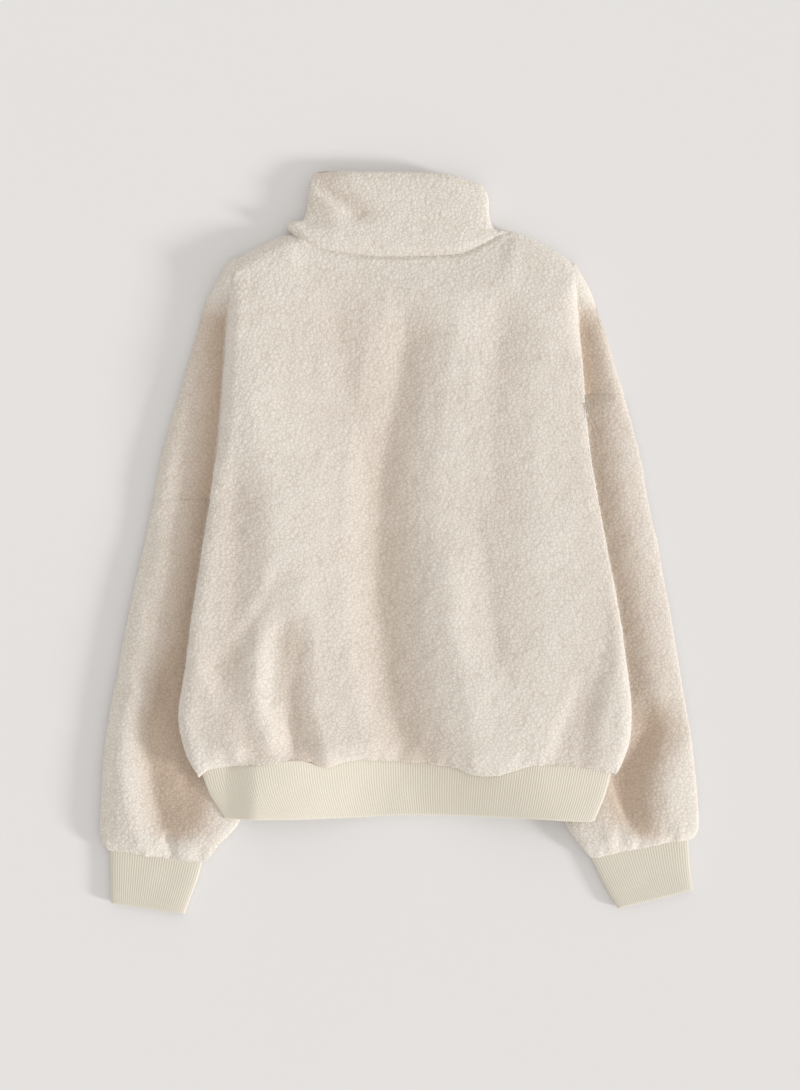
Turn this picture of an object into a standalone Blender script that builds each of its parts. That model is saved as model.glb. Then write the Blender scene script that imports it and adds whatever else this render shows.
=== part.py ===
"""Sherpa fleece pullover, laid flat on a surface with its back up.

Metres, +Z up. The origin is on the surface, under the middle of the garment. +Y runs to the collar
and +X to the right of someone who looks down at the back. The sleeves lie behind the body, so they
are the lowest layer, then come the front panel, and on top the back panel.
"""

from collections import namedtuple
from math import copysign, cos, hypot, pi, sin, sqrt

import bmesh
import bpy
from mathutils import Vector

# Driving dimensions
FLEECE_WALL = 0.005
COLLAR_WALL = 0.0085
RIB_WALL = 0.0032
SEAM_GAP = 0.0003
NECK_GAP = 0.0006
BAND_GAP = 0.0005

COLLAR_HEIGHT = 0.020
BAND_HEIGHT = 0.0095
CUFF_HEIGHT = 0.0095
SIDE_SEAM_HEIGHT = 0.0066
SHOULDER_STRIP_HEIGHT = 0.0148

RIB_PITCH = 0.0026
RIB_DEPTH = 0.0009
UNDER_COLUMNS = 22
BAND_FOLD_POWER = 16
BAND_FOLD_ROUND = 0.25

EDGE_ROUND = 0.022
HEM_ROUND = 0.026
STRIP_ROUND = 0.016
UNDER_ROUND = 0.007
UNDER_LIFT = 0.0025
DRAPE_START = 0.004
DRAPE_RAMP = 0.042
DRAPE_LEAD = 0.026
DRAPE_CLEARANCE = 0.0012
BAND_RAMP = 0.150
BAND_CLEARANCE = 0.0018
LAYER_GAP = 0.0060
LAY_ROOM = 0.0030
LAY_SOFTNESS = 0.0060
FOLD_SOFTNESS = 0.006
FOLD_POWER = 1.5
SLEEVE_OVAL_POWER = 3.2
COLLAR_OVAL_POWER = 5.0
UNDER_FLATNESS = 1.08

ARMHOLE_LEFT = 0.0449
ARMHOLE_RIGHT = 0.1551
ARMHOLE_REACH = 0.005
FOLD_TOP = 0.262
STRIP_LEAD = 0.045
STRIP_RAMP = 0.060
STRIP_CROWN = 0.024
NECK_STEP = 0.001
NECK_RAMP = 0.050
NECK_END = 0.006

SLEEVE_POINTS = 28
COLLAR_POINTS = 40
BACK_COLUMNS = 30
FRONT_COLUMNS = 24
BODY_LENGTH = 0.545
ROW_STEP = 0.029
ROW_SPACING_SHARE = 0.4
EDGE_STEPS = (0.0, 0.0018, 0.006, 0.013)
HEM_STEPS = (0.0, 0.002, 0.007, 0.015)
STRIP_SHARES = (0.22, 0.58, 0.88, 1.0)
STRIP_STEPS = tuple(range(1, len(STRIP_SHARES) + 1))
TINY = 1e-6

# The body's two fold edges, from the hem seam up to the shoulder tips, and its height on the surface
BodyRow = namedtuple("BodyRow", "y left right crown")
BODY = (
    BodyRow(-0.2450, -0.2092, 0.2260, 0.029),
    BodyRow(-0.2281, -0.2192, 0.2344, 0.032),
    BodyRow(-0.2071, -0.2265, 0.2418, 0.033),
    BodyRow(-0.1777, -0.2307, 0.2439, 0.033),
    BodyRow(-0.1441, -0.2255, 0.2407, 0.032),
    BodyRow(-0.0811, -0.2171, 0.2323, 0.030),
    BodyRow(0.0029, -0.2045, 0.2166, 0.029),
    BodyRow(0.0869, -0.1919, 0.2019, 0.028),
    BodyRow(0.1709, -0.1845, 0.1935, 0.027),
    BodyRow(0.2444, -0.1793, 0.1877, 0.026),
    BodyRow(0.2948, -0.1688, 0.1819, 0.024),
    BodyRow(0.3300, -0.1600, 0.1750, 0.022),
)

# The outer edges of the shoulders, which run on into the sleeves
ShoulderRow = namedtuple("ShoulderRow", "y left right")
SHOULDER = (
    ShoulderRow(0.0291, -0.2612, 0.2659),
    ShoulderRow(0.0953, -0.2496, 0.2533),
    ShoulderRow(0.1551, -0.2318, 0.2376),
    ShoulderRow(0.1835, -0.2234, 0.2286),
    ShoulderRow(0.2202, -0.2129, 0.2176),
    ShoulderRow(0.2517, -0.2045, 0.2071),
    ShoulderRow(0.2685, -0.1950, 0.2008),
    ShoulderRow(0.2885, -0.1845, 0.1893),
    ShoulderRow(0.3011, -0.1750, 0.1830),
)

# The top edge of the body: shoulder, neck seam, shoulder
TopPoint = namedtuple("TopPoint", "x y")
TOP_EDGE = (
    TopPoint(-0.1688, 0.3000),
    TopPoint(-0.1457, 0.3147),
    TopPoint(-0.1247, 0.3242),
    TopPoint(-0.1110, 0.3221),
    TopPoint(-0.0921, 0.3105),
    TopPoint(-0.0585, 0.3037),
    TopPoint(-0.0228, 0.3000),
    TopPoint(0.0097, 0.3000),
    TopPoint(0.0433, 0.3011),
    TopPoint(0.0664, 0.3032),
    TopPoint(0.0969, 0.3158),
    TopPoint(0.1210, 0.3270),
    TopPoint(0.1378, 0.3221),
    TopPoint(0.1515, 0.3158),
    TopPoint(0.1725, 0.3032),
    TopPoint(0.1819, 0.2948),
)
NECK_LEFT = -0.1130
NECK_RIGHT = 0.1190

# The body's lower edge, which droops where the cloth blouses over the hem band
HEM_EDGE = (
    TopPoint(-0.2092, -0.2449),
    TopPoint(-0.1898, -0.2365),
    TopPoint(-0.1373, -0.2323),
    TopPoint(-0.1068, -0.2281),
    TopPoint(-0.0911, -0.2292),
    TopPoint(-0.0727, -0.2360),
    TopPoint(-0.0480, -0.2292),
    TopPoint(0.0192, -0.2313),
    TopPoint(0.0601, -0.2365),
    TopPoint(0.0780, -0.2439),
    TopPoint(0.1084, -0.2418),
    TopPoint(0.1305, -0.2334),
    TopPoint(0.1578, -0.2323),
    TopPoint(0.1956, -0.2365),
    TopPoint(0.2260, -0.2418),
)

# The sewn edge of the hem band, under the body's lower edge: its middle, and how far its ends drop
BAND_SEAM_MIDDLE = -0.2280
BAND_SEAM_DROP = 0.0130
BAND_END = (
    TopPoint(-0.1835, -0.2890),
    TopPoint(-0.1373, -0.2901),
    TopPoint(-0.0449, -0.2890),
    TopPoint(0.0013, -0.2869),
    TopPoint(0.0780, -0.2869),
    TopPoint(0.1399, -0.2890),
    TopPoint(0.1987, -0.2918),
    TopPoint(0.2050, -0.2905),
)

# The hem band's side folds, from the seam down
BandRow = namedtuple("BandRow", "down left right")
BAND = (
    BandRow(0.00, -0.2070, 0.2225),
    BandRow(0.55, -0.1975, 0.2145),
    BandRow(1.00, -0.1825, 0.2050),
)

# Sleeves lie on the surface: each row is a section from the outer fold to the inner fold
SleeveRow = namedtuple("SleeveRow", "outer_x outer_y inner_x inner_y height")
SLEEVE_LEFT = (
    SleeveRow(-0.2581, 0.0449, -0.0905, 0.0449, 0.0137),
    SleeveRow(-0.2612, 0.0291, -0.0932, 0.0291, 0.0142),
    SleeveRow(-0.2700, -0.0100, -0.1000, -0.0100, 0.0155),
    SleeveRow(-0.2790, -0.0496, -0.1068, -0.0496, 0.0165),
    SleeveRow(-0.2880, -0.0930, -0.1158, -0.0930, 0.0170),
    SleeveRow(-0.2958, -0.1357, -0.1247, -0.1357, 0.0175),
    SleeveRow(-0.3034, -0.1700, -0.1330, -0.1700, 0.0180),
    SleeveRow(-0.3084, -0.2019, -0.1415, -0.2019, 0.0180),
    SleeveRow(-0.3126, -0.2544, -0.1551, -0.2544, 0.0185),
    SleeveRow(-0.3147, -0.2964, -0.1688, -0.2964, 0.0200),
    SleeveRow(-0.3130, -0.3120, -0.1880, -0.3165, 0.0185),
    SleeveRow(-0.3095, -0.3185, -0.1985, -0.3290, 0.0150),
    SleeveRow(-0.3053, -0.3217, -0.2055, -0.3345, 0.0120),
)
SLEEVE_RIGHT = (
    SleeveRow(0.2376, 0.1551, 0.0811, 0.1551, 0.0137),
    SleeveRow(0.2533, 0.0953, 0.0874, 0.0953, 0.0148),
    SleeveRow(0.2659, 0.0291, 0.0979, 0.0291, 0.0160),
    SleeveRow(0.2740, -0.0100, 0.1037, -0.0100, 0.0160),
    SleeveRow(0.2817, -0.0496, 0.1095, -0.0496, 0.0165),
    SleeveRow(0.2895, -0.0930, 0.1185, -0.0930, 0.0170),
    SleeveRow(0.2964, -0.1357, 0.1273, -0.1357, 0.0175),
    SleeveRow(0.3020, -0.1700, 0.1363, -0.1700, 0.0180),
    SleeveRow(0.3069, -0.2019, 0.1452, -0.2019, 0.0180),
    SleeveRow(0.3132, -0.2544, 0.1588, -0.2544, 0.0185),
    SleeveRow(0.3153, -0.2930, 0.1750, -0.2953, 0.0200),
    SleeveRow(0.3140, -0.3020, 0.1880, -0.3140, 0.0185),
    SleeveRow(0.3105, -0.3065, 0.1965, -0.3240, 0.0150),
    SleeveRow(0.3060, -0.3088, 0.2008, -0.3296, 0.0120),
)

# Cuffs, from the sleeve's seam to the open end
CuffRow = namedtuple("CuffRow", "outer_x outer_y inner_x inner_y")
CUFF_LEFT = (
    CuffRow(-0.3042, -0.3222, -0.2066, -0.3347),
    CuffRow(-0.3040, -0.3510, -0.2150, -0.3630),
    CuffRow(-0.3032, -0.3795, -0.2255, -0.3909),
)
CUFF_RIGHT = (
    CuffRow(0.3050, -0.3093, 0.2016, -0.3298),
    CuffRow(0.3062, -0.3380, 0.2150, -0.3580),
    CuffRow(0.3095, -0.3657, 0.2302, -0.3856),
)

# The stand collar's two side folds, from the neck seam up
CollarRow = namedtuple("CollarRow", "up left right height")
COLLAR = (
    CollarRow(0.00, -0.1115, 0.1185, 0.0200),
    CollarRow(0.10, -0.1165, 0.1110, 0.0215),
    CollarRow(0.17, -0.1175, 0.1050, 0.0220),
    CollarRow(0.25, -0.1085, 0.1000, 0.0220),
    CollarRow(0.33, -0.1005, 0.0975, 0.0220),
    CollarRow(0.45, -0.0980, 0.0960, 0.0218),
    CollarRow(0.62, -0.0958, 0.0950, 0.0215),
    CollarRow(0.85, -0.0940, 0.0946, 0.0205),
    CollarRow(0.97, -0.0925, 0.0925, 0.0195),
    CollarRow(1.00, -0.0900, 0.0900, 0.0185),
)
COLLAR_END = (
    TopPoint(-0.0950, 0.3870),
    TopPoint(-0.0850, 0.3895),
    TopPoint(-0.0585, 0.3905),
    TopPoint(-0.0144, 0.3895),
    TopPoint(0.0360, 0.3890),
    TopPoint(0.0549, 0.3867),
    TopPoint(0.0769, 0.3795),
    TopPoint(0.0950, 0.3735),
)

# The side folds of a band's lower side: the share across, and how far down from the fold
FoldStep = namedtuple("FoldStep", "share drop")
UNDER_FOLD = (
    FoldStep(0.0, 0.0),
    FoldStep(0.004, 0.62),
    FoldStep(0.015, 1.0),
)

# The back's largest folds: troughs where the depth is above zero, ridges where it is below
FoldPoint = namedtuple("FoldPoint", "y x")
Fold = namedtuple("Fold", "depth left_reach right_reach fade path")
FOLDS = (
    Fold(0.0060, 0.100, 0.095, 0.080, (
        FoldPoint(0.2200, -0.0650), FoldPoint(0.1499, -0.0510), FoldPoint(0.0869, -0.0344),
        FoldPoint(0.0239, -0.0330), FoldPoint(-0.0391, -0.0281), FoldPoint(-0.1021, -0.0270),
        FoldPoint(-0.1651, -0.0218), FoldPoint(-0.2365, 0.0060))),
    Fold(0.0050, 0.035, 0.050, 0.060, (
        FoldPoint(0.2129, 0.0066), FoldPoint(0.1499, -0.0029), FoldPoint(0.0869, -0.0155),
        FoldPoint(0.0239, -0.0197), FoldPoint(-0.0391, -0.0218), FoldPoint(-0.1021, -0.0155),
        FoldPoint(-0.1651, -0.0092), FoldPoint(-0.2365, 0.0130))),
    Fold(0.0050, 0.022, 0.050, 0.060, (
        FoldPoint(0.0400, -0.1740), FoldPoint(-0.0391, -0.1780), FoldPoint(-0.1021, -0.1867),
        FoldPoint(-0.1651, -0.1877), FoldPoint(-0.2365, -0.1990))),
    Fold(0.0055, 0.018, 0.030, 0.050, (
        FoldPoint(-0.1100, -0.1230), FoldPoint(-0.1651, -0.1222), FoldPoint(-0.2124, -0.1110),
        FoldPoint(-0.2365, -0.1040))),
    Fold(0.0045, 0.045, 0.048, 0.060, (
        FoldPoint(0.2129, 0.1040), FoldPoint(0.1499, 0.0980), FoldPoint(0.0869, 0.0958),
        FoldPoint(0.0239, 0.0916), FoldPoint(-0.0391, 0.0958), FoldPoint(-0.1021, 0.1010))),
    Fold(0.0040, 0.055, 0.018, 0.060, (
        FoldPoint(0.2129, 0.1880), FoldPoint(0.0869, 0.1990), FoldPoint(-0.0391, 0.2130),
        FoldPoint(-0.1021, 0.2140), FoldPoint(-0.1651, 0.1960), FoldPoint(-0.2365, 0.1880))),
    Fold(0.0030, 0.010, 0.025, 0.030, (
        FoldPoint(-0.1600, 0.1880), FoldPoint(-0.2092, 0.1700), FoldPoint(-0.2365, 0.1640))),
    Fold(-0.0040, 0.045, 0.110, 0.070, (
        FoldPoint(-0.0391, 0.0538), FoldPoint(-0.1021, 0.0601), FoldPoint(-0.1651, 0.0727),
        FoldPoint(-0.2365, 0.0800))),
    Fold(-0.0035, 0.050, 0.090, 0.070, (
        FoldPoint(0.1499, -0.1540), FoldPoint(0.0869, -0.1450), FoldPoint(0.0239, -0.1400),
        FoldPoint(-0.0391, -0.1330), FoldPoint(-0.1021, -0.1400), FoldPoint(-0.1651, -0.1500),
        FoldPoint(-0.2365, -0.1560))),
)

CREAM = (0.774, 0.703, 0.623)
RIB_BEIGE = (0.708, 0.644, 0.515)


def flow(table, key, value, at):
    """Read a column of a table at a place between its rows, on a smooth curve."""
    rows = sorted(table, key=lambda row: getattr(row, key))
    keys = [getattr(row, key) for row in rows]
    values = [getattr(row, value) for row in rows]
    if at <= keys[0]:
        return values[0]
    if at >= keys[-1]:
        return values[-1]
    i = max(k for k in range(len(keys) - 1) if keys[k] <= at)

    def slope(k):
        low, high = max(k - 1, 0), min(k + 1, len(keys) - 1)
        return (values[high] - values[low]) / (keys[high] - keys[low])

    span = keys[i + 1] - keys[i]
    t = (at - keys[i]) / span
    start = (2 * t**3 - 3 * t**2 + 1) * values[i] + (t**3 - 2 * t**2 + t) * span * slope(i)
    end = (3 * t**2 - 2 * t**3) * values[i + 1] + (t**3 - t**2) * span * slope(i + 1)
    return start + end


def ease(t):
    """Rise smoothly from 0 to 1 while t goes from 0 to 1."""
    t = min(max(t, 0.0), 1.0)
    return t * t * (3 - 2 * t)


def blend(a, b, t):
    """Mix two numbers."""
    return a + (b - a) * t


def rounded(distance, radius):
    """Give the share of the full height at a distance inside a rounded edge."""
    s = min(max(distance / radius, 0.0), 1.0)
    return sqrt(1 - (1 - s) ** 2)


def sleeve_hill(x, y, rows, side, armhole, ramp):
    """Give the height that cloth over one sleeve lies at, sloping to the surface over a ramp."""
    height = flow(rows, "outer_y", "height", y) + DRAPE_CLEARANCE
    inner = flow(rows, "inner_y", "inner_x", y)
    past_inner = (inner - x) * side
    across = 1 - ease((past_inner - DRAPE_START) / ramp)
    along = 1 - ease((y - armhole - DRAPE_LEAD) / DRAPE_RAMP)
    return height * across * along


def bed(x, y):
    """Give the height of what the body lies on: the surface, or a sleeve."""
    left = sleeve_hill(x, y, SLEEVE_LEFT, -1, ARMHOLE_LEFT, DRAPE_RAMP)
    right = sleeve_hill(x, y, SLEEVE_RIGHT, 1, ARMHOLE_RIGHT, DRAPE_RAMP)
    return max(left, right)


def band_bed(x, y):
    """Give the height that the hem band's upper side keeps to, bridging the slopes at the sleeves."""
    left = sleeve_hill(x, y, SLEEVE_LEFT, -1, ARMHOLE_LEFT, BAND_RAMP)
    right = sleeve_hill(x, y, SLEEVE_RIGHT, 1, ARMHOLE_RIGHT, BAND_RAMP)
    return max(left + right, bed(x, y))


def band_seam(x):
    """Give the y of the seam that joins the body and the hem band."""
    left, right = BAND[0].left, BAND[0].right
    across = (2 * x - left - right) / (right - left)
    return BAND_SEAM_MIDDLE - BAND_SEAM_DROP * min(abs(across), 1.0) ** 4


def fold_depth(x, y):
    """Add up the back's folds at a place."""
    total = 0.0
    for fold in FOLDS:
        line = flow(fold.path, "y", "x", y)
        ends = [point.y for point in fold.path]
        fade = ease((y - min(ends)) / fold.fade + 1) * ease((max(ends) - y) / fold.fade + 1)
        reach = fold.left_reach if x < line else fold.right_reach
        away = (hypot(x - line, FOLD_SOFTNESS) - FOLD_SOFTNESS) / reach
        total += fold.depth * fade * max(1 - away, 0.0) ** FOLD_POWER
    return total


def crown(x, y):
    """Give the height of the back's upper side away from its edges: it lies on all that is under it."""
    height = flow(BODY, "y", "crown", y) - fold_depth(x, y)
    lowest = bed(x, y) + 2 * FLEECE_WALL + LAY_ROOM
    over = height - lowest
    return lowest + (over + sqrt(over * over + LAY_SOFTNESS**2)) / 2


def inside_neck(x):
    """Tell how far inside the neck seam's span a place is, from 0 to 1."""
    return ease((x - NECK_LEFT) / NECK_END) * ease((NECK_RIGHT - x) / NECK_END)


def body_rows():
    """Give the places of the body's rows as shares of the way from hem seam to top edge."""
    length = BODY_LENGTH
    low = [step / length for step in HEM_STEPS]
    high = [1 - step / length for step in EDGE_STEPS]
    count = round((length - HEM_STEPS[-1] - EDGE_STEPS[-1]) / ROW_STEP)
    middle = [blend(low[-1], min(high), i / count) for i in range(1, count)]
    seams = [armhole_share(side) for side in (-1, 1)]
    nearest = ROW_SPACING_SHARE * ROW_STEP / length
    middle = [v for v in middle if all(abs(v - seam) > nearest for seam in seams)]
    return sorted(low + middle + seams + high)


def side_edge(side, y):
    """Give the x of the body's fold edge on one side."""
    return flow(BODY, "y", "left" if side < 0 else "right", y)


def armhole_share(side):
    """Give the armhole seam's place as a share of the way from hem seam to top edge."""
    seam = ARMHOLE_LEFT if side < 0 else ARMHOLE_RIGHT
    end = 0 if side < 0 else -1
    low, high = HEM_EDGE[end].y, TOP_EDGE[end].y
    return (seam - low) / (high - low)


def columns(count):
    """Give the body's columns: a share across, and metres inside the left or the right fold."""
    left = [(0.0, step) for step in EDGE_STEPS]
    right = [(1.0, -step) for step in reversed(EDGE_STEPS)]
    return left + [(i / count, 0.0) for i in range(1, count)] + right


def body_place(share, inset, v, hem_line):
    """Give x and y of a point of the body's grid."""
    hem_x = blend(HEM_EDGE[0].x, HEM_EDGE[-1].x, share) + inset
    top_x = blend(TOP_EDGE[0].x, TOP_EDGE[-1].x, share) + inset
    y = blend(hem_line(hem_x), flow(TOP_EDGE, "x", "y", top_x), v)
    low, high = side_edge(-1, y), side_edge(1, y)
    if share in (0.0, 1.0):
        return blend(low, high, share) + inset, y
    return blend(low + EDGE_STEPS[-1], high - EDGE_STEPS[-1], share), y


def edge_distances(x, y, v):
    """Give the distances to the side fold and to the top and hem seams."""
    side = min(x - side_edge(-1, y), side_edge(1, y) - x)
    return side, (1 - v) * BODY_LENGTH, v * BODY_LENGTH


def strip_height(y, top):
    """Give the height of the shoulder strip outside a fold edge, which the fold runs out into."""
    return blend(SHOULDER_STRIP_HEIGHT, top, ease((y - FOLD_TOP + STRIP_LEAD) / STRIP_RAMP))


def back_height(x, y, v, has_strip):
    """Give the height of the back panel's upper side."""
    side, top, hem = edge_distances(x, y, v)
    seam = bed(x, y) + SIDE_SEAM_HEIGHT + SEAM_GAP / 2
    full = crown(x, y)
    over_front = bed(x, y) + 2 * FLEECE_WALL + LAYER_GAP
    low = max(strip_height(y, full), over_front) if has_strip else seam
    height = blend(low, full, rounded(side, EDGE_ROUND))
    over_band = band_bed(x, y) + BAND_HEIGHT + BAND_CLEARANCE
    height = blend(over_band, height, rounded(hem, HEM_ROUND))
    shoulder = blend(seam, height, rounded(top, EDGE_ROUND))
    neck = blend(COLLAR_HEIGHT + NECK_STEP, height, ease(top / NECK_RAMP))
    return blend(shoulder, neck, inside_neck(x))


def front_height(x, y, v, has_strip):
    """Give the height of the front panel's under side."""
    side, top, _ = edge_distances(x, y, v)
    up = 0.0 if has_strip else 1 - rounded(side, UNDER_ROUND)
    shoulder = (1 - rounded(top, UNDER_ROUND)) * (1 - inside_neck(x))
    return bed(x, y) + UNDER_LIFT * max(up, shoulder)


def back_hem(x):
    """Give the y of the back's lower edge."""
    return flow(HEM_EDGE, "x", "y", x)


def front_hem(x):
    """Give the y of the front's lower edge, at the seam to the hem band."""
    return band_seam(x) + BAND_GAP / 2


def body_panel(name, count, hem_line, height, strip_edge, up):
    """Loft one body panel: columns between the folds, and a strip over each dropped shoulder."""
    bm = bmesh.new()
    grid = []
    for v in body_rows():
        row = {}
        for share, inset in columns(count):
            x, y = body_place(share, inset, v, hem_line)
            has_strip = v >= armhole_share(-1 if share < 0.5 else 1) - TINY
            row[(share, inset)] = bm.verts.new((x, y, height(x, y, v, has_strip)))
        for side in (-1, 1):
            add_strip(bm, row, side, v, height, strip_edge)
        grid.append(row)
    order = [("strip", -1, k) for k in reversed(STRIP_STEPS)] + columns(count)
    order += [("strip", 1, k) for k in STRIP_STEPS]
    for lower, upper in zip(grid, grid[1:]):
        for left, right in zip(order, order[1:]):
            keys = (lower.get(left), lower.get(right), upper.get(right), upper.get(left))
            if all(keys):
                bm.faces.new(keys if up else keys[::-1])
    return finish_object(name, bm)


def add_strip(bm, row, side, v, height, strip_edge):
    """Add a row's points of the shoulder strip, from the fold edge out to the shoulder's edge."""
    if v < armhole_share(side) - TINY:
        return
    start = row[(0.0, 0.0) if side < 0 else (1.0, 0.0)].co
    y = start.y
    outer = flow(SHOULDER, "y", "left" if side < 0 else "right", y)
    for k, share in enumerate(STRIP_SHARES, 1):
        x = blend(start.x, outer, share)
        z = strip_edge(abs(outer - x), (1 - v) * BODY_LENGTH, y)
        row[("strip", side, k)] = bm.verts.new((x, y, z))


def back_strip(distance, top, y):
    """Give the height of the back's shoulder strip at a distance inside the outer edge."""
    seam = SIDE_SEAM_HEIGHT + SEAM_GAP / 2
    full = strip_height(y, STRIP_CROWN)
    return blend(seam, full, rounded(distance, STRIP_ROUND) * rounded(top, EDGE_ROUND))


def front_strip(distance, top, _):
    """Give the height of the front's shoulder strip at a distance inside the outer edge."""
    return UNDER_LIFT * (1 - min(rounded(distance, UNDER_ROUND), rounded(top, UNDER_ROUND)))


def finish_object(name, bm):
    """Make an object from a bmesh, in the garment's collection."""
    mesh = bpy.data.meshes.new(name)
    bm.to_mesh(mesh)
    bm.free()
    piece = bpy.data.objects.new(name, mesh)
    GARMENT.objects.link(piece)
    return piece


def thicken(piece, thickness, hold):
    """Give an open surface its wall, inwards, and keep each point where its neighbours let it be."""
    wall = piece.modifiers.new("Wall", "SOLIDIFY")
    wall.thickness = thickness
    wall.offset = -1
    wall.use_quality_normals = True
    graph = bpy.context.evaluated_depsgraph_get()
    mesh = bpy.data.meshes.new_from_object(piece.evaluated_get(graph))
    piece.modifiers.clear()
    piece.data = mesh
    for vertex in mesh.vertices:
        vertex.co = hold(vertex.co.copy())


def fill_up(piece):
    """Give the front its wall, straight up from its under side, and a little more at sewn edges."""
    bm = bmesh.new()
    bm.from_mesh(piece.data)
    for vertex in bm.verts:
        vertex.co = hold_front(vertex.co.copy())
    top = bmesh.ops.extrude_face_region(bm, geom=bm.faces[:])["geom"]
    edge_share = (SIDE_SEAM_HEIGHT - SEAM_GAP / 2 - FLEECE_WALL) / UNDER_LIFT
    for vertex in (item for item in top if isinstance(item, bmesh.types.BMVert)):
        low = seam_bed(vertex.co)
        vertex.co.z = low + FLEECE_WALL + (vertex.co.z - low) * edge_share
    bmesh.ops.recalc_face_normals(bm, faces=bm.faces)
    bm.to_mesh(piece.data)
    bm.free()


def hold_back(place):
    """Keep the back above the side seams and the hem band, and below the neck seam."""
    if place.y < band_seam(place.x) + FLEECE_WALL + BAND_CLEARANCE:
        lowest = band_bed(place.x, place.y) + BAND_HEIGHT + BAND_CLEARANCE
    else:
        lowest = seam_bed(place) + SIDE_SEAM_HEIGHT + SEAM_GAP / 2
    place.z = max(place.z, lowest)
    return hold_below_neck(place)


def seam_bed(place):
    """Give the bed's height inside the folds, falling to the surface on the strips outside them."""
    side = -1 if place.x < 0 else 1
    fold = side_edge(side, place.y)
    past_fold = (place.x - fold) * side
    if past_fold <= 0:
        return bed(place.x, place.y)
    outer = flow(SHOULDER, "y", "left" if side < 0 else "right", place.y)
    return bed(fold, place.y) * max(1 - past_fold / (STRIP_SHARES[0] * abs(outer - fold)), 0.0)


def hold_front(place):
    """Keep the front between the seams to the hem band and to the collar."""
    place.y = max(place.y, band_seam(place.x) + BAND_GAP / 2)
    return hold_below_neck(place)


def hold_below_neck(place):
    """Keep a point of the body on its side of the top edge, and a strip above its armhole seam."""
    place.y = min(place.y, flow(TOP_EDGE, "x", "y", place.x) - NECK_GAP / 2)
    armhole = ARMHOLE_LEFT if place.x < 0 else ARMHOLE_RIGHT
    if armhole - ARMHOLE_REACH < place.y < armhole:
        place.y = armhole
    return place


def hold_collar(place):
    """Keep the collar above the neck seam and on the surface."""
    place.y = max(place.y, flow(TOP_EDGE, "x", "y", place.x) + NECK_GAP / 2)
    place.z = max(place.z, 0.0)
    return place


def oval(around, power):
    """Give the points of a flat oval: share across from 0 to 1, and height from -1 to 1."""
    points = []
    for k in range(around):
        angle = 2 * pi * k / around
        c, s = cos(angle), sin(angle)
        across = copysign(abs(c) ** (2 / power), c)
        lift = copysign(abs(s) ** (2 / power), s)
        points.append(((1 - across) / 2, lift))
    return points


def tube(name, rings):
    """Loft a closed tube through rings of equal length."""
    bm = bmesh.new()
    loops = [[bm.verts.new(point) for point in ring] for ring in rings]
    join_loops(bm, loops, False)
    bmesh.ops.recalc_face_normals(bm, faces=bm.faces)
    return finish_object(name, bm)


def join_loops(bm, loops, flip):
    """Fill between loops of equal length with quads."""
    for lower, upper in zip(loops, loops[1:]):
        for k in range(len(lower)):
            n = (k + 1) % len(lower)
            corners = (lower[k], lower[n], upper[n], upper[k])
            bm.faces.new(corners[::-1] if flip else corners)


def flattened(middle, lift):
    """Give a tube's height at a place of its section, flat underneath where it rests."""
    return middle * (1 + lift) if lift > 0 else max(middle * (1 + UNDER_FLATNESS * lift), 0.0)


def sleeve_ring(row):
    """Give a sleeve's section: flat where it rests, with rounded folds at both sides."""
    middle = row.height / 2
    ring = []
    for share, lift in oval(SLEEVE_POINTS, SLEEVE_OVAL_POWER):
        x = blend(row.outer_x, row.inner_x, share)
        y = blend(row.outer_y, row.inner_y, share)
        z = flattened(middle, lift)
        ring.append(Vector((x, y, z)))
    return ring


def sleeve(name, rows):
    """Make one sleeve: a flattened tube from the armhole seam to the cuff seam."""
    rings = [sleeve_ring(row) for row in rows]
    armhole = rows[0].outer_y - SEAM_GAP
    for point in rings[0]:
        point.y = armhole
    piece = tube(name, rings)
    last = rows[-1]
    start, end = Vector((last.outer_x, last.outer_y, 0)), Vector((last.inner_x, last.inner_y, 0))

    def hold(place):
        place.z = max(place.z, 0.0)
        place.y = min(place.y, armhole)
        return push_beyond(place, start, end)

    thicken(piece, FLEECE_WALL, hold)
    return piece


def push_beyond(place, start, end):
    """Keep a point on the collar's side of a slanted cuff seam."""
    along = (end - start).normalized()
    up = Vector((-along.y, along.x, 0))
    if up.y < 0:
        up = -up
    past = (place - start).dot(up)
    return place - up * past if past < 0 else place


def collar():
    """Make the stand collar: a flat tube of doubled fleece, open at the neck and at the top."""
    rings = []
    for row in COLLAR:
        ring = []
        middle = row.height / 2
        for share, lift in oval(COLLAR_POINTS, COLLAR_OVAL_POWER):
            x = blend(row.left, row.right, share)
            low = flow(TOP_EDGE, "x", "y", x) + NECK_GAP / 2
            high = flow(COLLAR_END, "x", "y", x)
            ring.append(Vector((x, blend(low, high, row.up), flattened(middle, lift))))
        rings.append(ring)
    piece = tube("collar", rings)
    thicken(piece, COLLAR_WALL, hold_collar)
    return piece


def ribbed_ring(place, width, rest, upper):
    """Give a band's outer section: ribs on the upper side, plain under it."""
    ribs = round(width / RIB_PITCH)
    ring = []
    for k in range(1, 2 * ribs):
        share = k / (2 * ribs)
        lift = (1 - abs(2 * share - 1) ** BAND_FOLD_POWER) ** BAND_FOLD_ROUND
        rib = RIB_DEPTH * (0.5 if k % 2 else -0.5)
        x, y = place(share)
        low, high = rest(x, y), upper(x, y)
        ring.append(Vector((x, y, blend(low, high, 0.5 + 0.5 * lift) + rib * lift)))
    for share, drop in under_side(UNDER_COLUMNS):
        x, y = place(share)
        low, high = rest(x, y), upper(x, y)
        ring.append(Vector((x, y, blend(low, high, 0.5 - 0.5 * drop))))
    return ring


def under_side(count):
    """Give the points of a band's lower side, from the right fold back to the left one."""
    right = [(1 - step.share, step.drop) for step in UNDER_FOLD]
    middle = [(1 - k / count, 1.0) for k in range(1, count)]
    return right + middle + [(step.share, step.drop) for step in reversed(UNDER_FOLD)]


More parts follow.
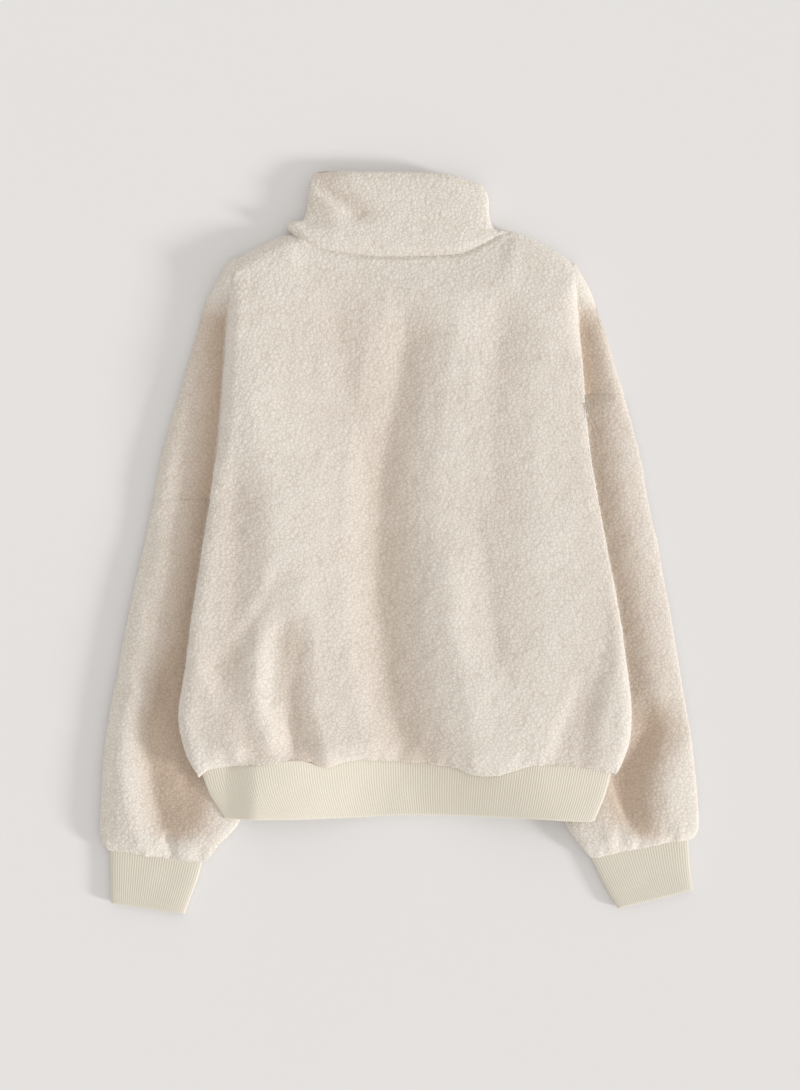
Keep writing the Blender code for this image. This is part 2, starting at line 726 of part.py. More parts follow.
def plain_ring(place, width, rest, upper):
    """Give a band's inner section, a wall's thickness inside the outer one."""
    inset = RIB_WALL / width
    ring = []
    for over in (True, False):
        for k in range(UNDER_COLUMNS + 1):
            step = k if over else UNDER_COLUMNS - k
            x, y = place(blend(inset, 1 - inset, step / UNDER_COLUMNS))
            ring.append(Vector((x, y, upper(x, y) - RIB_WALL if over else rest(x, y) + RIB_WALL)))
    return ring


def ribbed_band(name, places, width, rest, upper):
    """Make a rib-knit band: ribbed outer loops, plain inner loops, joined at both ends."""
    bm = bmesh.new()
    outer = [[bm.verts.new(p) for p in ribbed_ring(place, width, rest, upper)] for place in places]
    inner = [[bm.verts.new(p) for p in plain_ring(place, width, rest, upper)] for place in places]
    join_loops(bm, outer, False)
    join_loops(bm, inner, True)
    for end in (0, -1):
        close_rim(bm, outer[end], inner[end])
    bmesh.ops.recalc_face_normals(bm, faces=bm.faces)
    return finish_object(name, bm)


def close_rim(bm, outer, inner):
    """Fill between two loops of unequal length, which both run over the top and back below."""
    places = [around_share(loop) for loop in (outer, inner)]
    a, b = 0, 0
    while a < len(outer) or b < len(inner):
        next_a, next_b = places[0][a + 1], places[1][b + 1]
        one, two = outer[a % len(outer)], inner[b % len(inner)]
        if b == len(inner) or (a < len(outer) and next_a <= next_b):
            a += 1
            bm.faces.new((one, two, outer[a % len(outer)]))
        else:
            b += 1
            bm.faces.new((one, two, inner[b % len(inner)]))


def around_share(loop):
    """Give how far round each point of a band's section is, from the left fold over the top."""
    first, last = loop[0].co, max(loop, key=lambda v: (v.co - loop[0].co).length).co
    span = (last - first).xy
    across = [(v.co - first).xy.dot(span) / span.length_squared for v in loop]
    turn = across.index(max(across))
    shares = [x if k <= turn else 2 - x for k, x in enumerate(across)]
    return shares + [2.0, 3.0]


def hem_band():
    """Make the hem band, which rests on the surface and on the sleeves at both sides."""
    places = []
    for row in BAND:
        def place(share, row=row):
            x = blend(row.left, row.right, share)
            low = flow(BAND_END, "x", "y", x)
            high = band_seam(x) - BAND_GAP / 2
            return x, blend(high, low, row.down)
        places.append(place)
    width = BAND[0].right - BAND[0].left
    return ribbed_band("hem_rib", places, width, bed, lambda x, y: band_bed(x, y) + BAND_HEIGHT)


def cuff(name, rows):
    """Make one cuff, flat on the surface."""
    places = []
    for row in rows:
        def place(share, row=row):
            return blend(row.outer_x, row.inner_x, share), blend(row.outer_y, row.inner_y, share)
        places.append(place)
    width = abs(rows[0].inner_x - rows[0].outer_x)
    return ribbed_band(name, places, width, lambda x, y: 0.0, lambda x, y: CUFF_HEIGHT)


def material(name, colour, roughness):
    """Make a plain cloth material."""
    cloth = bpy.data.materials.new(name)
    cloth.use_nodes = True
    shader = cloth.node_tree.nodes["Principled BSDF"]
    shader.inputs["Base Color"].default_value = (*colour, 1.0)
    shader.inputs["Roughness"].default_value = roughness
    shader.inputs["Metallic"].default_value = 0.0
    return cloth


def main():
    """Build the pullover."""
    back = body_panel("back_panel", BACK_COLUMNS, back_hem, back_height, back_strip, True)
    thicken(back, FLEECE_WALL, hold_back)
    front = body_panel("front_panel", FRONT_COLUMNS, front_hem, front_height, front_strip, False)
    fill_up(front)
    fleece = [back, front, collar()]
    fleece.append(sleeve("sleeve_left", SLEEVE_LEFT))
    fleece.append(sleeve("sleeve_right", SLEEVE_RIGHT))
    ribs = [hem_band(), cuff("cuff_left", CUFF_LEFT), cuff("cuff_right", CUFF_RIGHT)]
    for piece in fleece:
        piece.data.materials.append(material(piece.name + "_fleece", CREAM, 0.95))
    for piece in ribs:
        piece.data.materials.append(material(piece.name + "_knit", RIB_BEIGE, 0.9))
    for piece in fleece + ribs:
        piece.data.shade_smooth()
        piece.data.set_sharp_from_angle(angle=pi / 3)


for existing in list(bpy.data.objects):
    bpy.data.objects.remove(existing)
GARMENT = bpy.data.collections.new("sherpa_pullover")
bpy.context.scene.collection.children.link(GARMENT)
main()
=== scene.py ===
"""Sherpa fleece pullover, laid flat: curly fleece shells, rib-knit bands, floor, light and camera.

Metres, +Z up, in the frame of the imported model. The garment lies on the floor with its back up and
its collar towards +Y. Each cloth piece is a thin shell on the form of the solid that it stands for.
"""

import logging
from collections.abc import Callable
from dataclasses import dataclass
from enum import Enum
from math import pi

import bmesh
import bpy
import numpy as np
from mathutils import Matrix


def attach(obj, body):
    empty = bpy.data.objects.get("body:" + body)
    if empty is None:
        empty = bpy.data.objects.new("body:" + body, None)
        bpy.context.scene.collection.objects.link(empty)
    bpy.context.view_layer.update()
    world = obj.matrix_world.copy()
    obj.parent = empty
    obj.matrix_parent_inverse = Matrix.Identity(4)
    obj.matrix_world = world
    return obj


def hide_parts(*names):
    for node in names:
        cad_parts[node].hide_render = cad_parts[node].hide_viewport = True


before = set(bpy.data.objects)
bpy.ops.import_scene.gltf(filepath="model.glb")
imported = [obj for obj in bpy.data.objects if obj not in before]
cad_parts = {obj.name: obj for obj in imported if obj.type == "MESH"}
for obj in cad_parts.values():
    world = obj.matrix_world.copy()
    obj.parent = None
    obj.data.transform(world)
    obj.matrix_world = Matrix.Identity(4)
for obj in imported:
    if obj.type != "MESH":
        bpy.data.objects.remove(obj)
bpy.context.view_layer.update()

LOG = logging.getLogger("sherpa_pullover")
Array = np.ndarray


class Side(Enum):
    """The photograph's left or right, as the sign of x."""

    LEFT = -1
    RIGHT = 1


def each_side(is_left: Array, read: Callable[[Side], Array | float]) -> Array:
    """Read the left places' values for the left side, and the others' for the right."""
    return np.where(is_left, read(Side.LEFT), read(Side.RIGHT))


def ease(t: Array) -> Array:
    """Rise smoothly from 0 to 1 while t goes from 0 to 1."""
    t = np.clip(t, 0.0, 1.0)
    return t * t * (3 - 2 * t)


def blend(a: Array, b: Array, t: Array) -> Array:
    """Mix two values."""
    return a + (b - a) * t


def bell(distance: Array, width: float) -> Array:
    """Fall softly from 1 to 0 on both sides of a line."""
    return np.exp(-((distance / width) ** 2))


def rounded(distance: Array, radius: float) -> Array:
    """Give the share of the full height at a distance inside a rolled edge."""
    s = np.clip(distance / radius, 0.0, 1.0)
    return np.sqrt(1 - (1 - s) ** 2)


def rolled(share: Array, span: float, first: float, last: float) -> Array:
    """Spread places evenly along a section whose two ends roll over.

    Args:
        share: how far along the section, from 0 to 1.
        span: the section's width, in metres.
        first: the radius of the roll at its start.
        last: the radius of the roll at its end.

    Returns:
        The distance from the start, as a share of the span.
    """
    start, stop = pi / 2 * first, pi / 2 * last
    total = span - first - last + start + stop
    way = share * total
    begin = first * (1 - np.cos(np.clip(way / first, 0, pi / 2)))
    end = span - last * (1 - np.cos(np.clip((total - way) / last, 0, pi / 2)))
    middle = way - start + first
    return np.where(way < start, begin, np.where(way > total - stop, end, middle)) / span


@dataclass(frozen=True)
class Line:
    """A smooth curve through a few named places, read at any place between them."""

    at: tuple[float, ...]
    value: tuple[float, ...]

    def __call__(self, place: Array) -> Array:
        """Read the curve.

        Args:
            place: where to read it; beyond its ends it stays level.

        Returns:
            The curve's value at each place.
        """
        order = np.argsort(self.at)
        keys, values = np.asarray(self.at)[order], np.asarray(self.value)[order]
        count = len(keys)
        low = np.maximum(np.arange(count) - 1, 0)
        high = np.minimum(np.arange(count) + 1, count - 1)
        slopes = (values[high] - values[low]) / (keys[high] - keys[low])
        place = np.clip(place, keys[0], keys[-1])
        i = np.clip(np.searchsorted(keys, place, side="right") - 1, 0, count - 2)
        span = keys[i + 1] - keys[i]
        t = (place - keys[i]) / span
        start = (2 * t**3 - 3 * t**2 + 1) * values[i] + (t**3 - 2 * t**2 + t) * span * slopes[i]
        end = (3 * t**2 - 2 * t**3) * values[i + 1] + (t**3 - t**2) * span * slopes[i + 1]
        return start + end


@dataclass(frozen=True)
class Crease:
    """A soft trough that runs over the cloth, or a ridge where its depth is below zero.

    Its two slopes reach out their own ways, because a fold in thick cloth leans to one side.
    """

    SLOPE_POWER = 1.5

    depth: float
    left_reach: float
    right_reach: float
    fade: float
    path: tuple[tuple[float, float], ...]
    softness: float = 0.006

    def at(self, x: Array, y: Array) -> Array:
        """Give the crease's depth at places on the surface.

        Args:
            x: the places' x.
            y: the places' y. The path's points are (y, x), from the collar's end down.

        Returns:
            How far the cloth is let down there.
        """
        ys = tuple(point[0] for point in self.path)
        line = Line(ys, tuple(point[1] for point in self.path))(y)
        fade = ease((y - min(ys)) / self.fade + 1) * ease((max(ys) - y) / self.fade + 1)
        reach = np.where(x < line, self.left_reach, self.right_reach)
        away = (np.hypot(x - line, self.softness) - self.softness) / reach
        return self.depth * fade * np.clip(1 - away, 0, 1) ** self.SLOPE_POWER


class Scatter:
    """Repeatable random values on a grid of cells, for the pile and the cloth's unevenness.

    The values are those that the shader's Voronoi texture gives its cells, so that the curls which
    are raised in the mesh and the ones which a finish draws are the same.
    """

    WHOLE = 0xFFFFFFFF
    SEED = 0xDEADBEEF + 13
    STIRS = ((4, 6, 8), (16, 19, 4))
    LAST_STIRS = ((14, 11, 25), (16, 4, 14))
    LAST_TURN = 24
    FAR = 9.0
    PUCKER_STRETCH = np.array([1.0, 0.3, 1.0])
    PUCKER_SIZES = (0.013, 0.007)
    FINE_PUCKERS = 0.6

    @staticmethod
    def _turn(value: Array, bits: int) -> Array:
        """Turn a 32-bit whole number round."""
        return (value << np.uint32(bits)) | (value >> np.uint32(32 - bits))

    @classmethod
    def _close(cls, a: Array, b: Array, c: Array) -> Array:
        """Do the last stirring of three numbers.

        Args:
            a: the first 32-bit whole numbers.
            b: the second ones.
            c: the third ones.

        Returns:
            A value from 0 to 1 for each three.
        """
        for bits in cls.LAST_STIRS:
            c = (c ^ b) - cls._turn(b, bits[0])
            a = (a ^ c) - cls._turn(c, bits[1])
            b = (b ^ a) - cls._turn(a, bits[2])
        c = (c ^ b) - cls._turn(b, cls.LAST_TURN)
        return c / float(cls.WHOLE)

    @classmethod
    def cell_value(cls, cell: Array, salt: int = 0) -> Array:
        """Give each cell its own value.

        Args:
            cell: whole-number cells, three to a row.
            salt: which of the cell's values to give.

        Returns:
            A value from 0 to 1 for each row.
        """
        x, y, z = (cell + 0.0).astype(np.float32).T.copy().view(np.uint32)
        words = 3 if salt == 0 else 4
        start = np.uint32((cls.SEED + (words << 2)) & cls.WHOLE)
        a, b, c = start + x, start + y, start + z
        if salt == 0:
            return cls._close(a, b, c)
        for bits in cls.STIRS:
            a = (a - c) ^ cls._turn(c, bits[0])
            c = c + b
            b = (b - a) ^ cls._turn(a, bits[1])
            a = a + c
            c = (c - b) ^ cls._turn(b, bits[2])
            b = b + a
        return cls._close(a + np.float32(salt).view(np.uint32), b, c)

    @classmethod
    def waves(cls, place: Array, size: float, salt: int) -> Array:
        """Give soft unevenness.

        Args:
            place: points, three coordinates to a row, in metres.
            size: how far apart its hills are, in metres.
            salt: which pattern to give.

        Returns:
            A value from -1 to 1 for each point.
        """
        scaled = place / size
        low = np.floor(scaled)
        cells, which = np.unique(low, axis=0, return_inverse=True)
        which = which.ravel()
        t = ease(scaled - low)
        total = np.zeros(len(place))
        for corner in np.ndindex(2, 2, 2):
            weight = np.prod(np.where(np.array(corner) == 1, t, 1 - t), axis=1)
            total += weight * cls.cell_value(cells + corner, salt)[which]
        return total * 2 - 1

    @classmethod
    def puckers(cls, place: Array, salt: int) -> Array:
        """Give the small gathers beside a seam, longer than they are wide.

        Args:
            place: points, three coordinates to a row, in metres.
            salt: which pattern to give; the finer gathers take the next one.

        Returns:
            The gathers' height for each point, from about -1.6 to 1.6.
        """
        stretched = place * cls.PUCKER_STRETCH
        wide, narrow = cls.PUCKER_SIZES
        fine = cls.waves(stretched, narrow, salt + 1)
        return cls.waves(stretched, wide, salt) + cls.FINE_PUCKERS * fine

    @classmethod
    def nubs(cls, scaled: Array) -> tuple[Array, Array, Array]:
        """Divide space into irregular curls.

        Args:
            scaled: points, three coordinates to a row, in curls.

        Returns:
            The distance to the curl's middle, how far the next curl's middle lies beyond it, both
            in curls, and the curl's own value from 0 to 1.
        """
        base = np.floor(scaled)
        cells, which = np.unique(base, axis=0, return_inverse=True)
        which = which.ravel()
        nearest = np.full(len(scaled), cls.FAR)
        second = np.full(len(scaled), cls.FAR)
        own = np.zeros(len(scaled))
        for step in np.ndindex(3, 3, 3):
            cell = cells + (np.array(step) - 1)
            shift = np.stack([cls.cell_value(cell, k) for k in range(3)], axis=1)
            middle = (cell + shift)[which]
            away = np.linalg.norm(scaled - middle, axis=1)
            closer = away < nearest
            second = np.where(closer, nearest, np.minimum(second, away))
            own = np.where(closer, shift[which, 0], own)
            nearest = np.where(closer, away, nearest)
        return nearest, second - nearest, own


@dataclass(frozen=True)
class Pile:
    """The fleece's curly pile, which stands on the cloth as small uneven nubs.

    Sizes are in metres, but the crevices, the bends' size and the dome are in nubs. The shades say
    how much of the lumps and swells the finish is told; it paints their lows darker, as painted shade.
    """

    nub_size: float = 0.0039
    nub_rise: float = 0.00045
    nub_level: float = 0.4
    dome_top: float = 1.05
    dome_fall: float = 0.45
    least_height: float = 0.7
    own_height: float = 0.5
    crevice: float = 0.55
    warp: float = 0.0022
    warp_size: float = 1.9
    warp_salts: tuple[int, ...] = (11, 12, 13)
    lump_size: float = 0.013
    lump_rise: float = 0.0004
    lump_salt: int = 31
    lump_shade: float = 0.25
    swell_size: float = 0.040
    swell_rise: float = 0.0007
    swell_salt: int = 41
    swell_shade: float = 0.15

    def curls(self, place: Array) -> Array:
        """Give each place's position among the curls, bent so that no two curls look alike."""
        size = self.nub_size * self.warp_size
        bends = [Scatter.waves(place, size, salt) for salt in self.warp_salts]
        return (place + self.warp * np.stack(bends, axis=1)) / self.nub_size

    def stand(self, place: Array) -> tuple[Array, Array]:
        """Give the pile's height over places on the cloth.

        Args:
            place: points on the cloth, three coordinates to a row, in metres.

        Returns:
            The height along the cloth's normal, and the pile's tone from 0 to 1, which the finish
            paints darker where the lumps and swells are low, as painted shade.
        """
        middle, border, own = Scatter.nubs(self.curls(place))
        dome = np.clip(self.dome_top - self.dome_fall * middle**2, 0, 1)
        tip = ease(border / self.crevice) * dome * (self.least_height + self.own_height * own)
        lumps = Scatter.waves(place, self.lump_size, self.lump_salt)
        swell = Scatter.waves(place, self.swell_size, self.swell_salt)
        rise = self.nub_rise * (tip - self.nub_level)
        rise += self.lump_rise * lumps + self.swell_rise * swell
        return rise, np.clip(0.5 + self.lump_shade * lumps + self.swell_shade * swell, 0, 1)


@dataclass
class ClothShell:
    """A thin shell of cloth, shaped on a grid of columns and rows and covered in fine faces.

    A shell says where its outer side lies, which of its coarse faces get the fine ones, and how far
    its surface stands out from the cloth. The grid, its wall and its faces are made here.
    """

    MERGE_REACH = 1e-5
    FULL_TROUGH = 0.010
    INNER = 1.0

    name: str
    node: str
    slot: str
    wall: float
    cuts: int = 5
    closed: bool = False
    turned: bool = False
    # How strongly the creases' hollows are painted with shade.
    trough_painted_shade: float = 0.0

    def columns(self) -> Array:
        """Give the grid's places across."""
        raise NotImplementedError

    def rows(self) -> Array:
        """Give the grid's places along."""
        raise NotImplementedError

    def place(self, s: Array, t: Array) -> Array:
        """Give the outer side's points, three coordinates to a row."""
        raise NotImplementedError

    def is_cut_away(self, s: Array, t: Array) -> Array:
        """Tell which coarse faces, by their middles, are left out."""
        return np.zeros(len(s), dtype=bool)

    def is_fine(self, s: Array, t: Array) -> Array:
        """Tell which coarse faces, by their middles, get fine faces."""
        return np.ones(len(s), dtype=bool)

    def stand_out(self, points: Array, s: Array, t: Array) -> tuple[Array, Array]:
        """Give the surface's height over the cloth, and the value from which its finish paints tone and
        painted shade.
        """
        raise NotImplementedError

    def painted_shade(self, points: Array) -> Array:
        """Give the painted shade in the valleys between folds, from 0 to 1."""
        return np.zeros(len(points))

    def painted_trough_shade(self, points: Array, creases: tuple[Crease, ...]) -> Array:
        """Give the painted shade in the creases' hollows, fuller where they sink deeper."""
        x, y = points[:, 0] - FORM.shade_lead, points[:, 1]
        trough = sum(np.maximum(crease.at(x, y), 0) for crease in creases)
        return self.trough_painted_shade * trough / self.FULL_TROUGH

    def build(self) -> bpy.types.Object:
        """Make the shell.

        Returns:
            The finished object, at the origin, riding on the body and replacing its node.
        """
        bm = bmesh.new()
        self._lay_grid(bm)
        self._thicken(bm)
        mesh = bpy.data.meshes.new(self.name)
        bm.to_mesh(mesh)
        bm.free()
        self._shape(mesh)
        mesh.shade_smooth()
        piece = bpy.data.objects.new(self.name, mesh)
        bpy.context.scene.collection.objects.link(piece)
        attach(piece, "root")
        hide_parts(self.node)
        return piece

    def _lay_grid(self, bm: bmesh.types.BMesh) -> None:
        """Lay the coarse grid on the cloth's outer side.

        Args:
            bm: the empty mesh to fill.
        """
        columns, rows = self.columns(), self.rows()
        bmesh.ops.create_grid(bm, x_segments=len(columns) - 1, y_segments=len(rows) - 1)
        layer = bm.verts.layers.float_vector.new("place")
        t, s = (axis.ravel() for axis in np.meshgrid(rows, columns, indexing="ij"))
        for vertex, point, across, along in zip(bm.verts, self.place(s, t), s, t):
            vertex.co = point
            vertex[layer] = (across, along, 0.0)
        middles = np.array([np.mean([v[layer][:2] for v in face.verts], axis=0) for face in bm.faces])
        away = self.is_cut_away(middles[:, 0], middles[:, 1])
        fine = self.is_fine(middles[:, 0], middles[:, 1])
        for face, chosen in zip(bm.faces, fine):
            face.select = bool(chosen)
        bmesh.ops.delete(
            bm, geom=[face for face, gone in zip(bm.faces, away) if gone], context="FACES"
        )
        if self.closed:
            bmesh.ops.remove_doubles(bm, verts=bm.verts, dist=self.MERGE_REACH)
        if self.turned:
            bmesh.ops.reverse_faces(bm, faces=bm.faces)
        bm.normal_update()

    def _thicken(self, bm: bmesh.types.BMesh) -> None:
        """Give the cloth its wall, inwards, and fine faces on its outer side.

        Args:
            bm: the mesh with the coarse grid.
        """
        layer = bm.verts.layers.float_vector["place"]
        outer_faces = [face for face in bm.faces if face.select]
        outer = set(bm.verts)
        bmesh.ops.solidify(bm, geom=bm.faces[:], thickness=self.wall)
        for vertex in bm.verts:
            if vertex not in outer:
                vertex[layer] = (vertex[layer][0], vertex[layer][1], self.INNER)
        edges = list({edge for face in outer_faces for edge in face.edges})
        bmesh.ops.subdivide_edges(bm, edges=edges, cuts=self.cuts, use_grid_fill=True)

    def _shape(self, mesh: bpy.types.Mesh) -> None:
        """Move the fine points to their places, raise the surface, and keep what the finish reads, its
        painted shade too.

        Args:
            mesh: the shell's mesh, with its wall and its fine faces.
        """
        count = len(mesh.vertices)
        stored = np.empty(count * 3, dtype=np.float32)
        mesh.attributes["place"].data.foreach_get("vector", stored)
        s, t, depth = stored.reshape(-1, 3).astype(float).T
        points = np.empty(count * 3, dtype=np.float32)
        mesh.vertices.foreach_get("co", points)
        points = points.reshape(-1, 3).astype(float)
        outer = depth < self.INNER / 2
        points[outer] = self.place(s[outer], t[outer])
        mesh.vertices.foreach_set("co", points.astype(np.float32).ravel())
        mesh.update()
        normals = np.empty(count * 3, dtype=np.float32)
        mesh.vertex_normals.foreach_get("vector", normals)
        normals = normals.reshape(-1, 3).astype(float)
        rise, tone_and_painted_shade = self.stand_out(points[outer], s[outer], t[outer])
        flat = points.copy()
        points[outer] += normals[outer] * rise[:, None]
        points[:, 2] = np.maximum(points[:, 2], 0.0)
        mesh.vertices.foreach_set("co", points.astype(np.float32).ravel())
        # These carry the pile's tone, with painted shade at its lows and pressed seams, and the painted
        # shade in the valleys between folds.
        for name, value in (("pile", tone_and_painted_shade), ("painted_shade", self.painted_shade(flat[outer]))):
            kept = np.zeros(count, dtype=np.float32)
            kept[outer] = value
            mesh.attributes.new(name, "FLOAT", "POINT").data.foreach_set("value", kept)
        curls = PILE.curls(flat).astype(np.float32)
        attribute = mesh.attributes.new("curls", "FLOAT_VECTOR", "POINT")
        attribute.data.foreach_set("vector", curls.ravel())
        mesh.update()


@dataclass(frozen=True)
class SleeveCut:
    """How one sleeve lies, with a value for each of its sections from the armhole to the cuff.

    The outer and inner folds are x and y, in metres. bed_y says at which y the cloth over the sleeve
    takes each section's height, for the sections that lie under the body.
    """

    outer_x: tuple[float, ...]
    outer_y: tuple[float, ...]
    inner_x: tuple[float, ...]
    inner_y: tuple[float, ...]
    top: tuple[float, ...]
    bed_y: tuple[float, ...]
    creases: tuple[Crease, ...]


@dataclass(frozen=True)
class GarmentForm:
    """The pullover's main form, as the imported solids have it: its outlines, levels and layers."""

    wall: float = 0.005
    seam_gap: float = 0.0003
    side_seam_height: float = 0.0066
    band_height: float = 0.0095
    collar_height: float = 0.020
    shoulder_strip_height: float = 0.0148
    drape_clearance: float = 0.0012
    drape_touch: float = 0.004
    drape_ramp: float = 0.042
    drape_lead: float = 0.026
    band_ramp: float = 0.150
    band_sink: float = 0.0075
    band_sink_start: float = -0.183
    band_sink_run: float = 0.036
    band_clearance: float = 0.0018
    lay_softness: float = 0.0060
    body_length: float = 0.545
    edge_round: float = 0.022
    hem_round: float = 0.026
    strip_round: float = 0.016
    armhole_left: float = 0.0449
    armhole_right: float = 0.1551
    fold_top: float = 0.262
    fold_lead: float = 0.020
    fold_run: float = 0.045
    fold_height: float = 0.024
    neck_left: float = -0.1130
    neck_right: float = 0.1190
    neck_end: float = 0.006
    neck_slope: float = 0.018
    neck_lead: float = 0.004
    band_seam_middle: float = -0.2280
    band_seam_drop: float = 0.0130
    band_seam_ends: tuple[float, float] = (-0.2070, 0.2225)
    dip_depth: float = 0.0080
    dip_width: float = 0.024
    dip_fade_start: float = 0.224
    dip_fade_run: float = 0.044
    # The valley fields and the shade lead shape the painted shade beside the body's folds and in the
    # creases.
    valley_width: float = 0.035
    valley_end: float = -0.325
    valley_end_run: float = 0.060
    valley_top_run: float = 0.036
    valley_edge: float = 0.004
    valley_soft_edge: float = 0.034
    valley_soft_start: float = -0.225
    valley_soft_run: float = 0.030
    valley_right_share: float = 0.8
    shade_lead: float = 0.010

    body_y: tuple[float, ...] = (
        -0.2450, -0.2281, -0.2071, -0.1777, -0.1441, -0.0811, 0.0029, 0.0869, 0.1709, 0.2444, 0.2948,
        0.3300,
    )
    body_left: tuple[float, ...] = (
        -0.2092, -0.2192, -0.2265, -0.2307, -0.2255, -0.2171, -0.2045, -0.1919, -0.1845, -0.1793,
        -0.1688, -0.1600,
    )
    body_right: tuple[float, ...] = (
        0.2260, 0.2344, 0.2418, 0.2439, 0.2407, 0.2323, 0.2166, 0.2019, 0.1935, 0.1877, 0.1819, 0.1750,
    )
    body_crown: tuple[float, ...] = (
        0.029, 0.032, 0.033, 0.033, 0.032, 0.030, 0.029, 0.028, 0.027, 0.026, 0.024, 0.022,
    )
    shoulder_y: tuple[float, ...] = (
        0.0291, 0.0953, 0.1551, 0.1835, 0.2202, 0.2517, 0.2685, 0.2885, 0.3011,
    )
    shoulder_left: tuple[float, ...] = (
        -0.2612, -0.2496, -0.2318, -0.2234, -0.2129, -0.2045, -0.1950, -0.1845, -0.1750,
    )
    shoulder_right: tuple[float, ...] = (
        0.2659, 0.2533, 0.2376, 0.2286, 0.2176, 0.2071, 0.2008, 0.1893, 0.1830,
    )
    top_x: tuple[float, ...] = (
        -0.1688, -0.1457, -0.1247, -0.1110, -0.0921, -0.0585, -0.0228, 0.0097, 0.0433, 0.0664, 0.0969,
        0.1210, 0.1378, 0.1515, 0.1725, 0.1819,
    )
    top_y: tuple[float, ...] = (
        0.3000, 0.3147, 0.3242, 0.3221, 0.3105, 0.3037, 0.3000, 0.3000, 0.3011, 0.3032, 0.3158,
        0.3270, 0.3221, 0.3158, 0.3032, 0.2948,
    )
    hem_x: tuple[float, ...] = (
        -0.2092, -0.1898, -0.1373, -0.1068, -0.0911, -0.0727, -0.0480, 0.0192, 0.0601, 0.0780,
        0.1084, 0.1305, 0.1578, 0.1956, 0.2260,
    )
    hem_y: tuple[float, ...] = (
        -0.2449, -0.2365, -0.2323, -0.2281, -0.2292, -0.2360, -0.2292, -0.2313, -0.2365, -0.2439,
        -0.2418, -0.2334, -0.2323, -0.2365, -0.2418,
    )
    sleeve_left: SleeveCut = SleeveCut(
        outer_x=(-0.2581, -0.2612, -0.2700, -0.2790, -0.2880, -0.2958, -0.3034, -0.3084, -0.3126,
                 -0.3147, -0.3130, -0.3095, -0.3053),
        outer_y=(0.0453, 0.0291, -0.0100, -0.0496, -0.0930, -0.1357, -0.1700, -0.2019, -0.2544,
                 -0.2964, -0.3120, -0.3185, -0.3217),
        inner_x=(-0.0905, -0.0932, -0.1000, -0.1068, -0.1158, -0.1247, -0.1330, -0.1415, -0.1551,
                 -0.1688, -0.1880, -0.1985, -0.2055),
        inner_y=(0.0453, 0.0291, -0.0100, -0.0496, -0.0930, -0.1357, -0.1700, -0.2019, -0.2544,
                 -0.2964, -0.3165, -0.3290, -0.3345),
        top=(0.0137, 0.0142, 0.0155, 0.0165, 0.0170, 0.0175, 0.0180, 0.0180, 0.0185, 0.0200,
             0.0185, 0.0150, 0.0120),
        bed_y=(0.0449, 0.0291, -0.0100, -0.0496, -0.0930, -0.1357, -0.1700, -0.2019, -0.2544,
               -0.2964),
        creases=(
            Crease(0.0085, 0.028, 0.045, 0.060, (
                (-0.1600, -0.2480), (-0.1900, -0.2590), (-0.2300, -0.2620), (-0.2700, -0.2560),
                (-0.3120, -0.2450), (-0.3300, -0.2400))),
            Crease(0.0070, 0.005, 0.010, 0.010, (
                (-0.3120, -0.2440), (-0.3240, -0.2405), (-0.3300, -0.2400)), 0.002),
            Crease(-0.0020, 0.020, 0.030, 0.080, (
                (0.0000, -0.2500), (-0.1000, -0.2740), (-0.2400, -0.2900))),
        ),
    )
    sleeve_right: SleeveCut = SleeveCut(
        outer_x=(0.2376, 0.2533, 0.2659, 0.2740, 0.2817, 0.2895, 0.2964, 0.3020, 0.3069, 0.3132,
                 0.3153, 0.3140, 0.3105, 0.3060),
        outer_y=(0.1555, 0.0953, 0.0291, -0.0100, -0.0496, -0.0930, -0.1357, -0.1700, -0.2019,
                 -0.2544, -0.2930, -0.3020, -0.3065, -0.3088),
        inner_x=(0.0811, 0.0874, 0.0979, 0.1037, 0.1095, 0.1185, 0.1273, 0.1363, 0.1452, 0.1588,
                 0.1750, 0.1880, 0.1965, 0.2008),
        inner_y=(0.1555, 0.0953, 0.0291, -0.0100, -0.0496, -0.0930, -0.1357, -0.1700, -0.2019,
                 -0.2544, -0.2953, -0.3140, -0.3240, -0.3296),
        top=(0.0137, 0.0148, 0.0160, 0.0160, 0.0165, 0.0170, 0.0175, 0.0180, 0.0180, 0.0185,
             0.0200, 0.0185, 0.0150, 0.0120),
        bed_y=(0.1551, 0.0953, 0.0291, -0.0100, -0.0496, -0.0930, -0.1357, -0.1700, -0.2019,
               -0.2544, -0.2930),
        creases=(
            Crease(0.0070, 0.024, 0.040, 0.050, (
                (-0.2000, 0.2640), (-0.2470, 0.2440), (-0.2800, 0.2400), (-0.3150, 0.2500))),
            Crease(0.0034, 0.005, 0.026, 0.022, (
                (-0.2480, 0.2240), (-0.2700, 0.2320), (-0.2900, 0.2400), (-0.3120, 0.2490)),
                0.003),
        ),
    )
